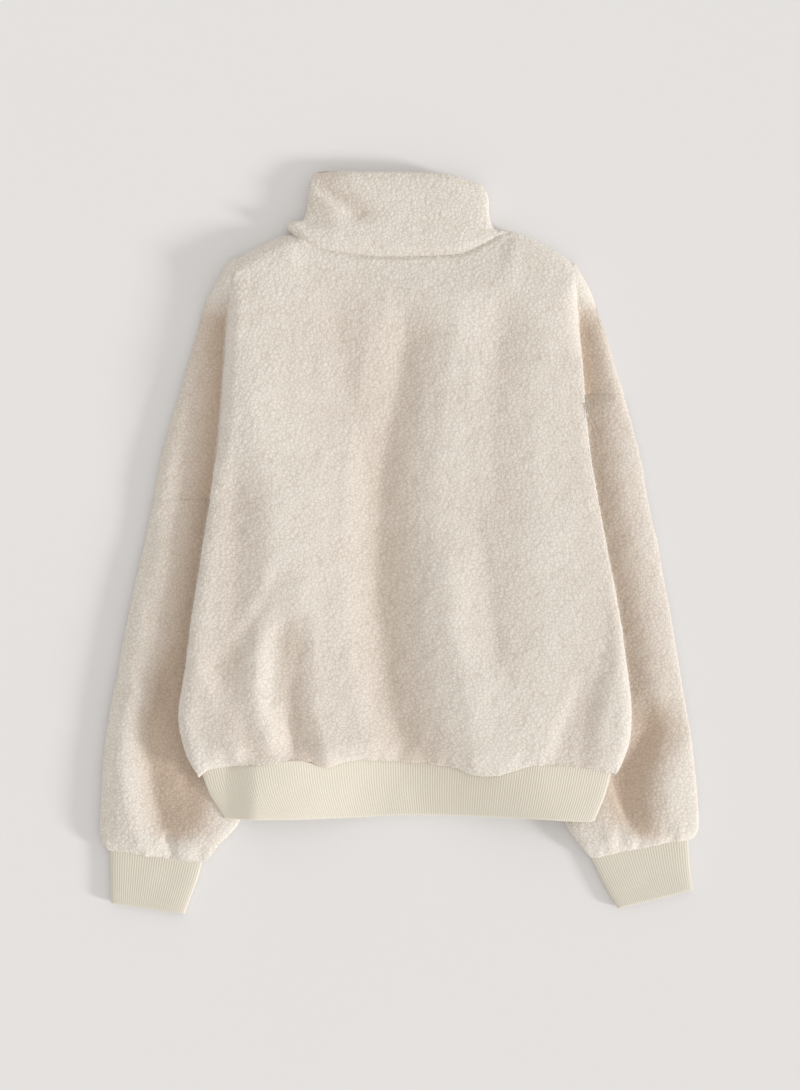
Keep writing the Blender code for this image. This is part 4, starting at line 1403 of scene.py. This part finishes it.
@dataclass
class Collar(FoldedTube):
    """The high stand collar, a doubled band of the same fleece."""

    up: tuple[float, ...] = (0.00, 0.10, 0.17, 0.25, 0.33, 0.45, 0.62, 0.85, 0.97, 1.00)
    left: tuple[float, ...] = (
        -0.1115, -0.1170, -0.1190, -0.1130, -0.1015, -0.0980, -0.0958, -0.0940, -0.0925, -0.0900,
    )
    right: tuple[float, ...] = (
        0.1185, 0.1110, 0.1050, 0.1000, 0.0975, 0.0960, 0.0950, 0.0946, 0.0925, 0.0900,
    )
    top: tuple[float, ...] = (
        0.0200, 0.0215, 0.0220, 0.0220, 0.0220, 0.0218, 0.0215, 0.0205, 0.0195, 0.0185,
    )
    end_x: tuple[float, ...] = (
        -0.0950, -0.0850, -0.0585, -0.0144, 0.0360, 0.0549, 0.0769, 0.0950,
    )
    end_y: tuple[float, ...] = (0.3870, 0.3895, 0.3905, 0.3895, 0.3890, 0.3867, 0.3795, 0.3735)
    creases: tuple[Crease, ...] = ()
    trough_painted_shade: float = 0.90
    painted_shade_above: float = 0.008
    crease_end: float = 1.5
    seam_gap: float = 0.0004
    under_fullness: float = 1.08
    least_half: float = 0.0008
    press_width: float = 0.006
    press_depth: float = 0.0008
    press_shade: float = 0.3
    pile_end: float = 1.6
    pile_end_run: float = 0.4

    def place(self, s: Array, t: Array) -> Array:
        """Give the collar's sheet, from the neck seam over the open end and back inside.

        Args:
            s: places round.
            t: places along.

        Returns:
            The points, three coordinates to a row, in metres.
        """
        along, inwards, past = self.fold_back(t)
        across, lift = self.section.walk(s)
        left, right = Line(self.up, self.left)(along), Line(self.up, self.right)(along)
        half = (right - left) / 2
        x = (left + right) / 2 + across * (half - inwards)
        low = FORM.top(x) - self.seam_gap
        high = Line(self.end_x, self.end_y)(x) - self.fold_wall / 2
        middle = Line(self.up, self.top)(along) / 2
        rest = np.where(lift > 0, lift, np.maximum(self.under_fullness * lift, -1))
        z = middle + rest * np.maximum(middle - inwards, self.least_half)
        y = blend(low, high, along)
        for crease in self.creases:
            z = z - crease.at(x, y) * ease(lift) * (t < self.crease_end)
        return np.stack([x, y + past, np.maximum(z, inwards / 2)], axis=1)

    def painted_shade(self, points: Array) -> Array:
        """Give the painted shade in the collar's creases, on its raised side."""
        return np.clip(self.painted_trough_shade(points, self.creases), 0, 1) * (points[:, 2] > self.painted_shade_above)

    def stand_out(self, points: Array, s: Array, t: Array) -> tuple[Array, Array]:
        """Raise the pile, pressed down at the neck seam.

        Args:
            points: points on the cloth, three coordinates to a row.
            s: their places round.
            t: their places along.

        Returns:
            How far the surface stands out there, and the pile's tone from 0 to 1, with painted shade
            along the neck seam.
        """
        rise, tip = PILE.stand(points)
        pressed = bell(points[:, 1] - FORM.top(points[:, 0]), self.press_width)
        outside = 1 - ease((t - self.pile_end) / self.pile_end_run)
        shown = ease(points[:, 2] / self.lift_off) * outside
        return (rise - self.press_depth * pressed) * shown, tip * (1 - self.press_shade * pressed)


@dataclass
class RibBand(FoldedTube):
    """A band of 1x1 rib knit: upright ribs on a doubled band."""

    section: FlatOval = FlatOval(5.0, 0.43, 0.0095)
    fold_wall: float = 0.0032
    height: float = 0.0095
    rib_depth: float = 0.00028
    uneven_size: float = 0.022
    uneven_rise: float = 0.0004
    uneven_salt: int = 71
    outer_cells: int = 6
    roll_cells: int = 1
    inner_cells: int = 3

    def lay(self, share: Array, along: Array) -> tuple[Array, Array]:
        """Give x and y of places on the band, by shares across and along."""
        raise NotImplementedError

    def rest(self, x: Array, y: Array) -> Array:
        """Give the height of what the band lies on."""
        return np.zeros(len(x))

    def upper(self, x: Array, y: Array) -> Array:
        """Give the height of the band's upper side."""
        return self.rest(x, y) + self.height

    def place(self, s: Array, t: Array) -> Array:
        """Give the band's sheet, from its seam over the open end and back inside.

        Args:
            s: places round.
            t: places along.

        Returns:
            The points, three coordinates to a row, in metres.
        """
        along, inwards, past = self.fold_back(t)
        across, lift = self.section.walk(s)
        squeeze = 1 - inwards / (self.section.width / 2)
        x, y = self.lay((1 + across * squeeze) / 2, along)
        rest = self.rest(x, y)
        half = (self.upper(x, y) - rest) / 2
        z = rest + half + lift * (half - inwards)
        return np.stack([x, y - past, np.maximum(z, rest)], axis=1)

    def stand_out(self, points: Array, s: Array, t: Array) -> tuple[Array, Array]:
        """Raise the ribs.

        Args:
            points: points on the band, three coordinates to a row.
            s: their places round, with one rib to a column of the grid.
            t: their places along.

        Returns:
            How far the surface stands out there, and how far up its rib each point is.
        """
        valley = 0.5 - 0.5 * np.cos(2 * pi * s * self.column_cells)
        rib = 1 - valley**2
        lifted = ease((points[:, 2] - self.rest(points[:, 0], points[:, 1])) / self.lift_off)
        uneven = self.uneven_rise * Scatter.waves(points, self.uneven_size, self.uneven_salt)
        return (self.rib_depth * (rib - 0.5) + uneven) * lifted, rib


@dataclass
class HemBand(RibBand):
    """The hem band, narrower than the bloused body, flat in the middle and over both sleeves."""

    tuck_in: float = 0.003
    tuck_run: float = 0.3
    seam_gap: float = 0.00025
    down: tuple[float, ...] = (0.00, 0.55, 1.00)
    left: tuple[float, ...] = (-0.2070, -0.1975, -0.1825)
    right: tuple[float, ...] = (0.2225, 0.2145, 0.2050)
    end_x: tuple[float, ...] = (
        -0.1835, -0.1373, -0.0449, 0.0013, 0.0780, 0.1399, 0.1987, 0.2050,
    )
    end_y: tuple[float, ...] = (
        -0.2890, -0.2901, -0.2890, -0.2869, -0.2869, -0.2890, -0.2918, -0.2905,
    )

    def place(self, s: Array, t: Array) -> Array:
        """Give the band's sheet, whose upper side starts under the back's edge.

        Args:
            s: places round.
            t: places along.

        Returns:
            The points, three coordinates to a row, in metres.
        """
        points = super().place(s, t)
        x = points[:, 0]
        short = np.maximum(FORM.hem(x) + self.tuck_in - FORM.band_seam(x), 0)
        on_top = ease(self.section.walk(s)[1] / self.tuck_run)
        points[:, 1] += short * (1 - ease(t / self.tuck_run)) * on_top
        return points

    def lay(self, share: Array, along: Array) -> tuple[Array, Array]:
        """Lay places on the hem band.

        Args:
            share: how far across, from left to right.
            along: how far along, from the seam to the open end.

        Returns:
            The places' x and y, in metres.
        """
        x = blend(Line(self.down, self.left)(along), Line(self.down, self.right)(along), share)
        low = Line(self.end_x, self.end_y)(x) + self.fold_wall / 2
        return x, blend(FORM.band_seam(x) - self.seam_gap, low, along)

    def rest(self, x: Array, y: Array) -> Array:
        """Give the height of the floor or the sleeves under the band."""
        return np.minimum(FORM.bed(x, y), FORM.band_bed(x, y))

    def upper(self, x: Array, y: Array) -> Array:
        """Give the height of the band's upper side, which bridges the slopes beside the sleeves."""
        return FORM.band_bed(x, y) + self.height


@dataclass
class Cuff(RibBand):
    """A rib-knit cuff, flat on the floor."""

    down: tuple[float, ...] = (0.0, 0.5, 1.0)
    outer_x: tuple[float, ...] = ()
    outer_y: tuple[float, ...] = ()
    inner_x: tuple[float, ...] = ()
    inner_y: tuple[float, ...] = ()

    def lay(self, share: Array, along: Array) -> tuple[Array, Array]:
        """Lay places on the cuff.

        Args:
            share: how far across, from the outer fold to the inner one.
            along: how far along, from the seam to the open end.

        Returns:
            The places' x and y, in metres.
        """
        outer = Line(self.down, self.outer_x)(along), Line(self.down, self.outer_y)(along)
        inner = Line(self.down, self.inner_x)(along), Line(self.down, self.inner_y)(along)
        y = blend(outer[1], inner[1], share)
        return blend(outer[0], inner[0], share), y + self.fold_wall / 2 * along


def put_node(
    tree: bpy.types.NodeTree, kind: str, inputs: dict[str | int, object], **settings: object
) -> bpy.types.Node:
    """Add a node to a tree.

    Args:
        tree: where to add it.
        kind: its type.
        inputs: for each input, by name or number, a value or another node's output.
        **settings: the node's own settings, such as its operation.

    Returns:
        The new node.
    """
    node = tree.nodes.new(kind)
    for label, setting in settings.items():
        setattr(node, label, setting)
    for label, value in inputs.items():
        if isinstance(value, bpy.types.NodeSocket):
            tree.links.new(value, node.inputs[label])
        else:
            node.inputs[label].default_value = value
    return node


def reckon(tree: bpy.types.NodeTree, operation: str, first: object, second: object) -> object:
    """Join two values, each a socket or a number, and give the result's socket."""
    node = put_node(tree, "ShaderNodeMath", {0: first, 1: second}, operation=operation)
    return node.outputs["Value"]


class ClothNodes:
    """Shader node groups that the finishes share, built once each."""

    @staticmethod
    def group(name: str, inputs: dict[str, tuple[str, float]], outputs: tuple[str, ...]) -> tuple:
        """Make an empty group with named sockets.

        Args:
            name: the group's name.
            inputs: each input's name, with its socket's kind and usual value.
            outputs: the names of its outputs, all plain values.

        Returns:
            The group's tree, its input node and its output node.
        """
        tree = bpy.data.node_groups.new(name, "ShaderNodeTree")
        for label, (kind, usual) in inputs.items():
            socket = tree.interface.new_socket(label, in_out="INPUT", socket_type=kind)
            if kind == "NodeSocketFloat":
                socket.default_value = usual
        for label in outputs:
            tree.interface.new_socket(label, in_out="OUTPUT", socket_type="NodeSocketFloat")
        return tree, tree.nodes.new("NodeGroupInput"), tree.nodes.new("NodeGroupOutput")

    @classmethod
    def fuzz(cls) -> bpy.types.NodeTree:
        """Build the group of loose fibres: small curls, and finer hairs over them.

        Returns:
            The group, which puts out their height.
        """
        if "loose fibres" in bpy.data.node_groups:
            return bpy.data.node_groups["loose fibres"]
        tree, start, end = cls.group(
            "loose fibres",
            {
                "Place": ("NodeSocketVector", 0.0),
                "Curls per metre": ("NodeSocketFloat", 420.0),
                "Hairs per metre": ("NodeSocketFloat", 1400.0),
                "Hair share": ("NodeSocketFloat", 0.4),
            },
            ("Height",),
        )
        place = start.outputs["Place"]
        bend = put_node(tree, "ShaderNodeTexNoise", {"Vector": place, "Scale": 260.0, "Detail": 1.0})
        bend_reach = (0.003, 0.003, 0.003)
        shift = put_node(
            tree, "ShaderNodeVectorMath", {0: bend.outputs["Color"], 1: bend_reach, 2: place},
            operation="MULTIPLY_ADD",
        )
        curls = put_node(
            tree, "ShaderNodeTexVoronoi",
            {
                "Vector": shift.outputs["Vector"], "Scale": start.outputs["Curls per metre"],
                "Smoothness": 0.4,
            },
            feature="SMOOTH_F1",
        )
        hairs = put_node(
            tree, "ShaderNodeTexNoise",
            {
                "Vector": place, "Scale": start.outputs["Hairs per metre"], "Detail": 3.0,
                "Roughness": 0.6,
            },
        )
        dome = reckon(tree, "SUBTRACT", 1.0, curls.outputs["Distance"])
        hair = reckon(tree, "MULTIPLY", hairs.outputs["Fac"], start.outputs["Hair share"])
        tree.links.new(reckon(tree, "ADD", dome, hair), end.inputs["Height"])
        return tree

    @classmethod
    def nubs(cls) -> bpy.types.NodeTree:
        """Build the group of the pile's nubs: the same curls as the mesh has, with crisp crevices.

        Returns:
            The group, which puts out how open the pile is, and its height.
        """
        if "pile nubs" in bpy.data.node_groups:
            return bpy.data.node_groups["pile nubs"]
        tree, start, end = cls.group(
            "pile nubs",
            {
                "Curl place": ("NodeSocketVector", 0.0),
                "Crevice": ("NodeSocketFloat", 0.135),
                "Dome": ("NodeSocketFloat", 0.5),
            },
            ("Open", "Height"),
        )
        cells = {"Vector": start.outputs["Curl place"], "Scale": 1.0}
        edges = put_node(tree, "ShaderNodeTexVoronoi", cells, feature="DISTANCE_TO_EDGE")
        middles = put_node(tree, "ShaderNodeTexVoronoi", cells)
        spread = put_node(
            tree, "ShaderNodeMapRange",
            {"Value": edges.outputs["Distance"], "From Max": start.outputs["Crevice"]},
            interpolation_type="SMOOTHSTEP",
        )
        is_open = spread.outputs["Result"]
        fall = reckon(tree, "MULTIPLY", middles.outputs["Distance"], start.outputs["Dome"])
        tree.links.new(is_open, end.inputs["Open"])
        tree.links.new(reckon(tree, "SUBTRACT", is_open, fall), end.inputs["Height"])
        return tree

    @classmethod
    def stitches(cls) -> bpy.types.NodeTree:
        """Build the group of knit stitches: a small V in each row of each rib.

        Returns:
            The group, which puts out their height.
        """
        if "knit stitches" in bpy.data.node_groups:
            return bpy.data.node_groups["knit stitches"]
        tree, start, end = cls.group(
            "knit stitches",
            {
                "Grid place": ("NodeSocketVector", 0.0),
                "Ribs round": ("NodeSocketFloat", 330.0),
                "Rows along": ("NodeSocketFloat", 34.0),
                "Slant": ("NodeSocketFloat", 1.6),
            },
            ("Height",),
        )
        parts = put_node(tree, "ShaderNodeSeparateXYZ", {"Vector": start.outputs["Grid place"]})
        across = reckon(tree, "MULTIPLY", parts.outputs["X"], start.outputs["Ribs round"])
        leg = reckon(tree, "PINGPONG", across, 0.5)
        along = reckon(tree, "MULTIPLY", parts.outputs["Y"], start.outputs["Rows along"])
        slanted = reckon(tree, "MULTIPLY", leg, start.outputs["Slant"])
        turn = reckon(tree, "MULTIPLY", reckon(tree, "ADD", along, slanted), 2 * pi)
        wave = reckon(tree, "SINE", turn, 0.0)
        tree.links.new(reckon(tree, "MULTIPLY", wave, 0.5), end.inputs["Height"])
        return tree


@dataclass(frozen=True)
class Finish:
    """A cloth finish: a deep colour, which paints shade in the cloth's crevices, a raised colour, and
    how soft and rough it looks.
    """

    SPECULAR = 0.15
    SHEEN_ROUGHNESS = 0.6
    SHEEN_TINT = (1.0, 0.97, 0.93, 1.0)

    name: str
    deep: tuple[float, float, float]
    raised: tuple[float, float, float]
    roughness: float
    sheen: float
    bump: float
    bump_reach: float
    curls: float
    hairs: float

    def _start(self) -> tuple[bpy.types.Material, bpy.types.Node]:
        """Make the material, with its constant values on the shader's own sockets.

        Returns:
            The material and its Principled shader.
        """
        material = bpy.data.materials.new(self.name)
        material.use_nodes = True
        shader = material.node_tree.nodes["Principled BSDF"]
        shader.inputs["Roughness"].default_value = self.roughness
        shader.inputs["Metallic"].default_value = 0.0
        shader.inputs["Specular IOR Level"].default_value = self.SPECULAR
        shader.inputs["Sheen Weight"].default_value = self.sheen
        shader.inputs["Sheen Roughness"].default_value = self.SHEEN_ROUGHNESS
        shader.inputs["Sheen Tint"].default_value = self.SHEEN_TINT
        return material, shader

    @staticmethod
    def _attribute(tree: bpy.types.NodeTree, name: str, output: str) -> bpy.types.NodeSocket:
        """Read one of the mesh's own attributes."""
        node = put_node(tree, "ShaderNodeAttribute", {}, attribute_name=name)
        return node.outputs[output]

    def _fuzz(self, tree: bpy.types.NodeTree) -> bpy.types.NodeSocket:
        """Put the loose fibres on the cloth.

        Args:
            tree: the material's nodes.

        Returns:
            The socket with their height.
        """
        place = put_node(tree, "ShaderNodeTexCoord", {}).outputs["Object"]
        inputs = {"Place": place, "Curls per metre": self.curls, "Hairs per metre": self.hairs}
        node = put_node(tree, "ShaderNodeGroup", inputs, node_tree=ClothNodes.fuzz())
        return node.outputs["Height"]

    def _mixed(self, tree: bpy.types.NodeTree, share: object) -> bpy.types.NodeSocket:
        """Mix the deep and the raised colour by a value."""
        inputs = {"A": (*self.deep, 1.0), "B": (*self.raised, 1.0), "Factor": share}
        return put_node(tree, "ShaderNodeMix", inputs, data_type="RGBA").outputs["Result"]

    def _dress(
        self, tree: bpy.types.NodeTree, shader: bpy.types.Node, colour: object, height: object
    ) -> None:
        """Give the shader its colour, and bump the surface.

        Args:
            tree: the material's nodes.
            shader: its Principled shader.
            colour: the socket with the colour.
            height: the socket with the bump's height.
        """
        inputs = {"Strength": self.bump, "Distance": self.bump_reach, "Height": height}
        bump = put_node(tree, "ShaderNodeBump", inputs)
        tree.links.new(colour, shader.inputs["Base Color"])
        tree.links.new(bump.outputs["Normal"], shader.inputs["Normal"])


@dataclass(frozen=True)
class FleeceFinish(Finish):
    """Curly sherpa pile: painted shade between the curls, pale and fuzzy on their tips.

    The shares say how much the fibres, the open nubs and the mesh's lumps brighten it, so the crevices
    and lows between them carry painted shade; the valleys between folds get a warm painted shade.
    """

    painted_shade_colour: tuple[float, float, float]
    fibre_share: float = 0.22
    nub_share: float = 0.72
    lump_share: float = 0.30
    base_share: float = -0.20
    fibre_bump: float = 0.35

    def make(self) -> bpy.types.Material:
        """Build the material.

        Returns:
            The finished material.
        """
        material, shader = self._start()
        tree = material.node_tree
        fuzz = self._fuzz(tree)
        place = {"Curl place": self._attribute(tree, "curls", "Vector")}
        nubs = put_node(tree, "ShaderNodeGroup", place, node_tree=ClothNodes.nubs())
        # Painted shade: the crevices between curls and the pile's lows lean to the deep colour.
        share = self.base_share
        for value, weight in (
            (fuzz, self.fibre_share), (nubs.outputs["Open"], self.nub_share),
            (self._attribute(tree, "pile", "Fac"), self.lump_share),
        ):
            share = reckon(tree, "ADD", reckon(tree, "MULTIPLY", value, weight), share)
        relief = reckon(tree, "MULTIPLY", fuzz, self.fibre_bump)
        relief = reckon(tree, "ADD", relief, nubs.outputs["Height"])
        self._dress(tree, shader, self._add_painted_shade(tree, self._mixed(tree, share)), relief)
        return material

    def _add_painted_shade(self, tree: bpy.types.NodeTree, colour: object) -> bpy.types.NodeSocket:
        """Paint a warm, darker shade on the cloth in the valleys between folds.

        Args:
            tree: the material's nodes.
            colour: the socket with the cloth's colour.

        Returns:
            The socket with the colour and its painted shade.
        """
        painted_shade = self._attribute(tree, "painted_shade", "Fac")
        inputs = {"A": colour, "B": (*self.painted_shade_colour, 1.0), "Factor": painted_shade}
        mix = put_node(tree, "ShaderNodeMix", inputs, data_type="RGBA", blend_type="MULTIPLY")
        return mix.outputs["Result"]


@dataclass(frozen=True)
class RibFinish(Finish):
    """1x1 rib knit: painted shade between the ribs and in the stitches' dips, with rows of small
    stitches on them.
    """

    ribs: float
    rows: float
    stitch_share: float = 0.04
    stitch_bump: float = 0.10
    fibre_bump: float = 0.20

    def make(self) -> bpy.types.Material:
        """Build the material.

        Returns:
            The finished material.
        """
        material, shader = self._start()
        tree = material.node_tree
        grid = self._attribute(tree, "place", "Vector")
        inputs = {"Grid place": grid, "Ribs round": self.ribs, "Rows along": self.rows}
        stitches = put_node(tree, "ShaderNodeGroup", inputs, node_tree=ClothNodes.stitches())
        stitch = stitches.outputs["Height"]
        # Painted shade: the ribs' valleys and the stitches' dips lean to the deep colour.
        shade = reckon(tree, "MULTIPLY", stitch, self.stitch_share)
        share = reckon(tree, "ADD", self._attribute(tree, "pile", "Fac"), shade)
        loops = reckon(tree, "MULTIPLY", stitch, self.stitch_bump)
        fibres = reckon(tree, "MULTIPLY", self._fuzz(tree), self.fibre_bump)
        height = reckon(tree, "ADD", loops, fibres)
        self._dress(tree, shader, self._mixed(tree, share), height)
        return material


@dataclass
class Pullover:
    """The whole garment: its pieces in the order they lie."""

    # The fleece's deep colour is painted shade between the curls, and its third, warm colour is painted
    # shade in the valleys between folds.
    fleece: FleeceFinish = FleeceFinish(
        name="sherpa_fleece", deep=(0.64, 0.575, 0.50), raised=(0.80, 0.765, 0.715),
        roughness=0.95, sheen=0.30, bump=0.22, bump_reach=0.0008, curls=430.0, hairs=1500.0,
        painted_shade_colour=(0.78, 0.67, 0.585),
    )
    # The ribs' deep colour is painted shade in their valleys.
    rib_painted_shade_colour: tuple[float, float, float] = (0.737, 0.689, 0.590)
    rib_raised: tuple[float, float, float] = (0.764, 0.722, 0.628)
    cuff_shade: float = 0.925
    hem_rows: float = 34.0
    cuff_rows: float = 33.0
    fleece_wall: float = 0.003
    rib_wall: float = 0.0012

    def _rib_finish(self, name: str, band: RibBand, rows: float, shade: float) -> RibFinish:
        """Give a band's finish, with its own count of ribs and rows and its own shade.

        Args:
            name: the material's name.
            band: the band, which has as many ribs round as columns.
            rows: how many rows of stitches it has along.
            shade: what its colours are multiplied by.

        Returns:
            The finish.
        """
        deep, raised = (tuple(shade * c for c in colour) for colour in (self.rib_painted_shade_colour, self.rib_raised))
        return RibFinish(
            name=name, deep=deep, raised=raised, roughness=0.9, sheen=0.15, bump=0.3,
            bump_reach=0.0004, curls=900.0, hairs=2600.0, ribs=float(band.column_cells), rows=rows,
        )

    def sleeves(self) -> list[tuple[Sleeve, tuple[float, float]]]:
        """Lay out both sleeves.

        Returns:
            Each sleeve, with the flat width and length of its cut, in metres.
        """
        left = Sleeve(
            name="fleece_sleeve_left", node="sleeve_left", slot="sherpa", wall=self.fleece_wall,
            side=Side.LEFT, turned=True,
        )
        right = Sleeve(
            name="fleece_sleeve_right", node="sleeve_right", slot="sherpa", wall=self.fleece_wall,
            side=Side.RIGHT,
        )
        return [(left, (0.36, 0.365)), (right, (0.36, 0.475))]

    def cuffs(self) -> list[Cuff]:
        """Lay out both cuffs.

        Returns:
            The left cuff and the right one.
        """
        section = FlatOval(5.0, 0.094, 0.0095)
        left = Cuff(
            name="rib_cuff_left", node="cuff_left", slot="rib_knit", wall=self.rib_wall,
            section=section, column_cells=78, turned=True,
            outer_x=(-0.3042, -0.3040, -0.3032), outer_y=(-0.3222, -0.3510, -0.3795),
            inner_x=(-0.2066, -0.2150, -0.2255), inner_y=(-0.3347, -0.3630, -0.3909),
        )
        right = Cuff(
            name="rib_cuff_right", node="cuff_right", slot="rib_knit", wall=self.rib_wall,
            section=section, column_cells=78,
            outer_x=(0.3050, 0.3062, 0.3095), outer_y=(-0.3093, -0.3380, -0.3657),
            inner_x=(0.2016, 0.2150, 0.2302), inner_y=(-0.3298, -0.3580, -0.3856),
        )
        return [left, right]

    def build(self) -> None:
        """Build and dress every piece, from the floor up."""
        fleece = self.fleece.make()
        for sleeve, flat in self.sleeves():
            self._finish(sleeve, fleece)
        front = FrontPanel(
            name="fleece_front", node="front_panel", slot="sherpa", wall=self.fleece_wall, cuts=6,
            turned=True,
        )
        self._finish(front, fleece)
        back = BackPanel(
            name="fleece_back", node="back_panel", slot="sherpa", wall=self.fleece_wall
        )
        self._finish(back, fleece)
        collar = Collar(
            name="fleece_collar", node="collar", slot="sherpa", wall=self.fleece_wall,
            section=FlatOval(5.0, 0.195, 0.021), column_cells=50, outer_cells=10,
            creases=(
                Crease(0.0034, 0.014, 0.032, 0.020, (
                    (0.3900, -0.0900), (0.3730, -0.0820), (0.3600, -0.0650), (0.3480, -0.0480))),
                Crease(0.0020, 0.012, 0.020, 0.012, (
                    (0.3600, -0.0960), (0.3494, -0.0942), (0.3380, -0.0900))),
            ),
        )
        self._finish(collar, fleece)
        hem = HemBand(
            name="rib_hem", node="hem_rib", slot="rib_knit", wall=self.rib_wall, column_cells=330,
            turned=True,
        )
        knit = self._rib_finish("rib_knit_hem", hem, self.hem_rows, 1.0).make()
        self._finish(hem, knit)
        for cuff in self.cuffs():
            name = cuff.name.replace("rib_", "rib_knit_")
            knit = self._rib_finish(name, cuff, self.cuff_rows, self.cuff_shade).make()
            self._finish(cuff, knit)

    def _finish(
        self, shell: ClothShell, material: bpy.types.Material,
    ) -> None:
        """Args:
            shell: the piece.
            material: its finish.
        """
        piece = shell.build()
        piece.data.materials.append(material)
        piece.data.calc_loop_triangles()
        LOG.info("%s: %d triangles", piece.name, len(piece.data.loop_triangles))


@dataclass
class Studio:
    """The pale floor, the soft light from the photograph's right, and the camera above."""

    middle: tuple[float, float] = (0.0013, -0.0024)
    camera_height: float = 2.5
    seen_height: float = 1.1445
    cloth_level: float = 0.015
    sensor: float = 36.0
    floor_size: float = 9.0
    floor_colour: tuple[float, float, float] = (0.80, 0.80, 0.81)
    floor_roughness: float = 0.9
    floor_specular: float = 0.1
    grain_shade: float = 0.985
    grain_scale: float = 3.0
    sky_low: float = 0.60
    sky_high: float = 0.92
    sky_colour: tuple[float, float, float] = (1.0, 0.965, 0.925)
    sky_side: tuple[float, float, float] = (0.45, -0.15, 0.30)
    key_strength: float = 2.2
    key_side: tuple[float, float, float] = (2.4, -0.80, 0.72)
    key_spread: float = 0.17

    def build(self) -> None:
        """Set up floor, light and camera."""
        self._floor()
        self._light()
        self._camera()

    def _floor(self) -> None:
        """Lay the floor."""
        bm = bmesh.new()
        bmesh.ops.create_grid(bm, x_segments=1, y_segments=1, size=self.floor_size / 2)
        mesh = bpy.data.meshes.new("studio_floor")
        bm.to_mesh(mesh)
        bm.free()
        floor = bpy.data.objects.new("studio_floor", mesh)
        bpy.context.scene.collection.objects.link(floor)
        material = bpy.data.materials.new("floor_paper")
        material.use_nodes = True
        tree = material.node_tree
        shader = tree.nodes["Principled BSDF"]
        shader.inputs["Roughness"].default_value = self.floor_roughness
        shader.inputs["Specular IOR Level"].default_value = self.floor_specular
        place = put_node(tree, "ShaderNodeTexCoord", {}).outputs["Object"]
        grain = put_node(tree, "ShaderNodeTexNoise", {"Vector": place, "Scale": self.grain_scale})
        deep = (*(c * self.grain_shade for c in self.floor_colour), 1.0)
        inputs = {"A": deep, "B": (*self.floor_colour, 1.0), "Factor": grain.outputs["Fac"]}
        mix = put_node(tree, "ShaderNodeMix", inputs, data_type="RGBA")
        tree.links.new(mix.outputs["Result"], shader.inputs["Base Color"])
        floor.data.materials.append(material)

    def _light(self) -> None:
        """Light softly from one side, with a fill that fades towards the other."""
        world = bpy.data.worlds.new("studio")
        world.use_nodes = True
        tree = world.node_tree
        background = tree.nodes["Background"]
        background.inputs["Color"].default_value = (*self.sky_colour, 1.0)
        place = put_node(tree, "ShaderNodeTexCoord", {}).outputs["Generated"]
        facing = put_node(
            tree, "ShaderNodeVectorMath", {0: place, 1: self.sky_side}, operation="DOT_PRODUCT"
        )
        spread = put_node(
            tree, "ShaderNodeMapRange",
            {
                "Value": facing.outputs["Value"], "From Min": -1.0, "To Min": self.sky_low,
                "To Max": self.sky_high,
            },
        )
        tree.links.new(spread.outputs["Result"], background.inputs["Strength"])
        bpy.context.scene.world = world
        bpy.context.scene.view_settings.view_transform = "Standard"
        light = bpy.data.lights.new("key", "SUN")
        light.energy = self.key_strength
        light.angle = self.key_spread
        key = bpy.data.objects.new("key", light)
        key.location = self.key_side
        key.rotation_euler = key.location.to_track_quat("Z", "Y").to_euler()
        bpy.context.scene.collection.objects.link(key)

    def _camera(self) -> None:
        """Look straight down at the garment, framed as in the photograph."""
        lens = bpy.data.cameras.new("camera")
        lens.sensor_width = self.sensor
        lens.lens = self.sensor * (self.camera_height - self.cloth_level) / self.seen_height
        camera = bpy.data.objects.new("camera", lens)
        camera.location = (*self.middle, self.camera_height)
        bpy.context.scene.collection.objects.link(camera)
        bpy.context.scene.camera = camera


def main() -> None:
    """Build the pullover, then the studio."""
    logging.basicConfig(level=logging.INFO, format="%(message)s")
    Pullover().build()
    Studio().build()


if __name__ == "__main__":
    main()
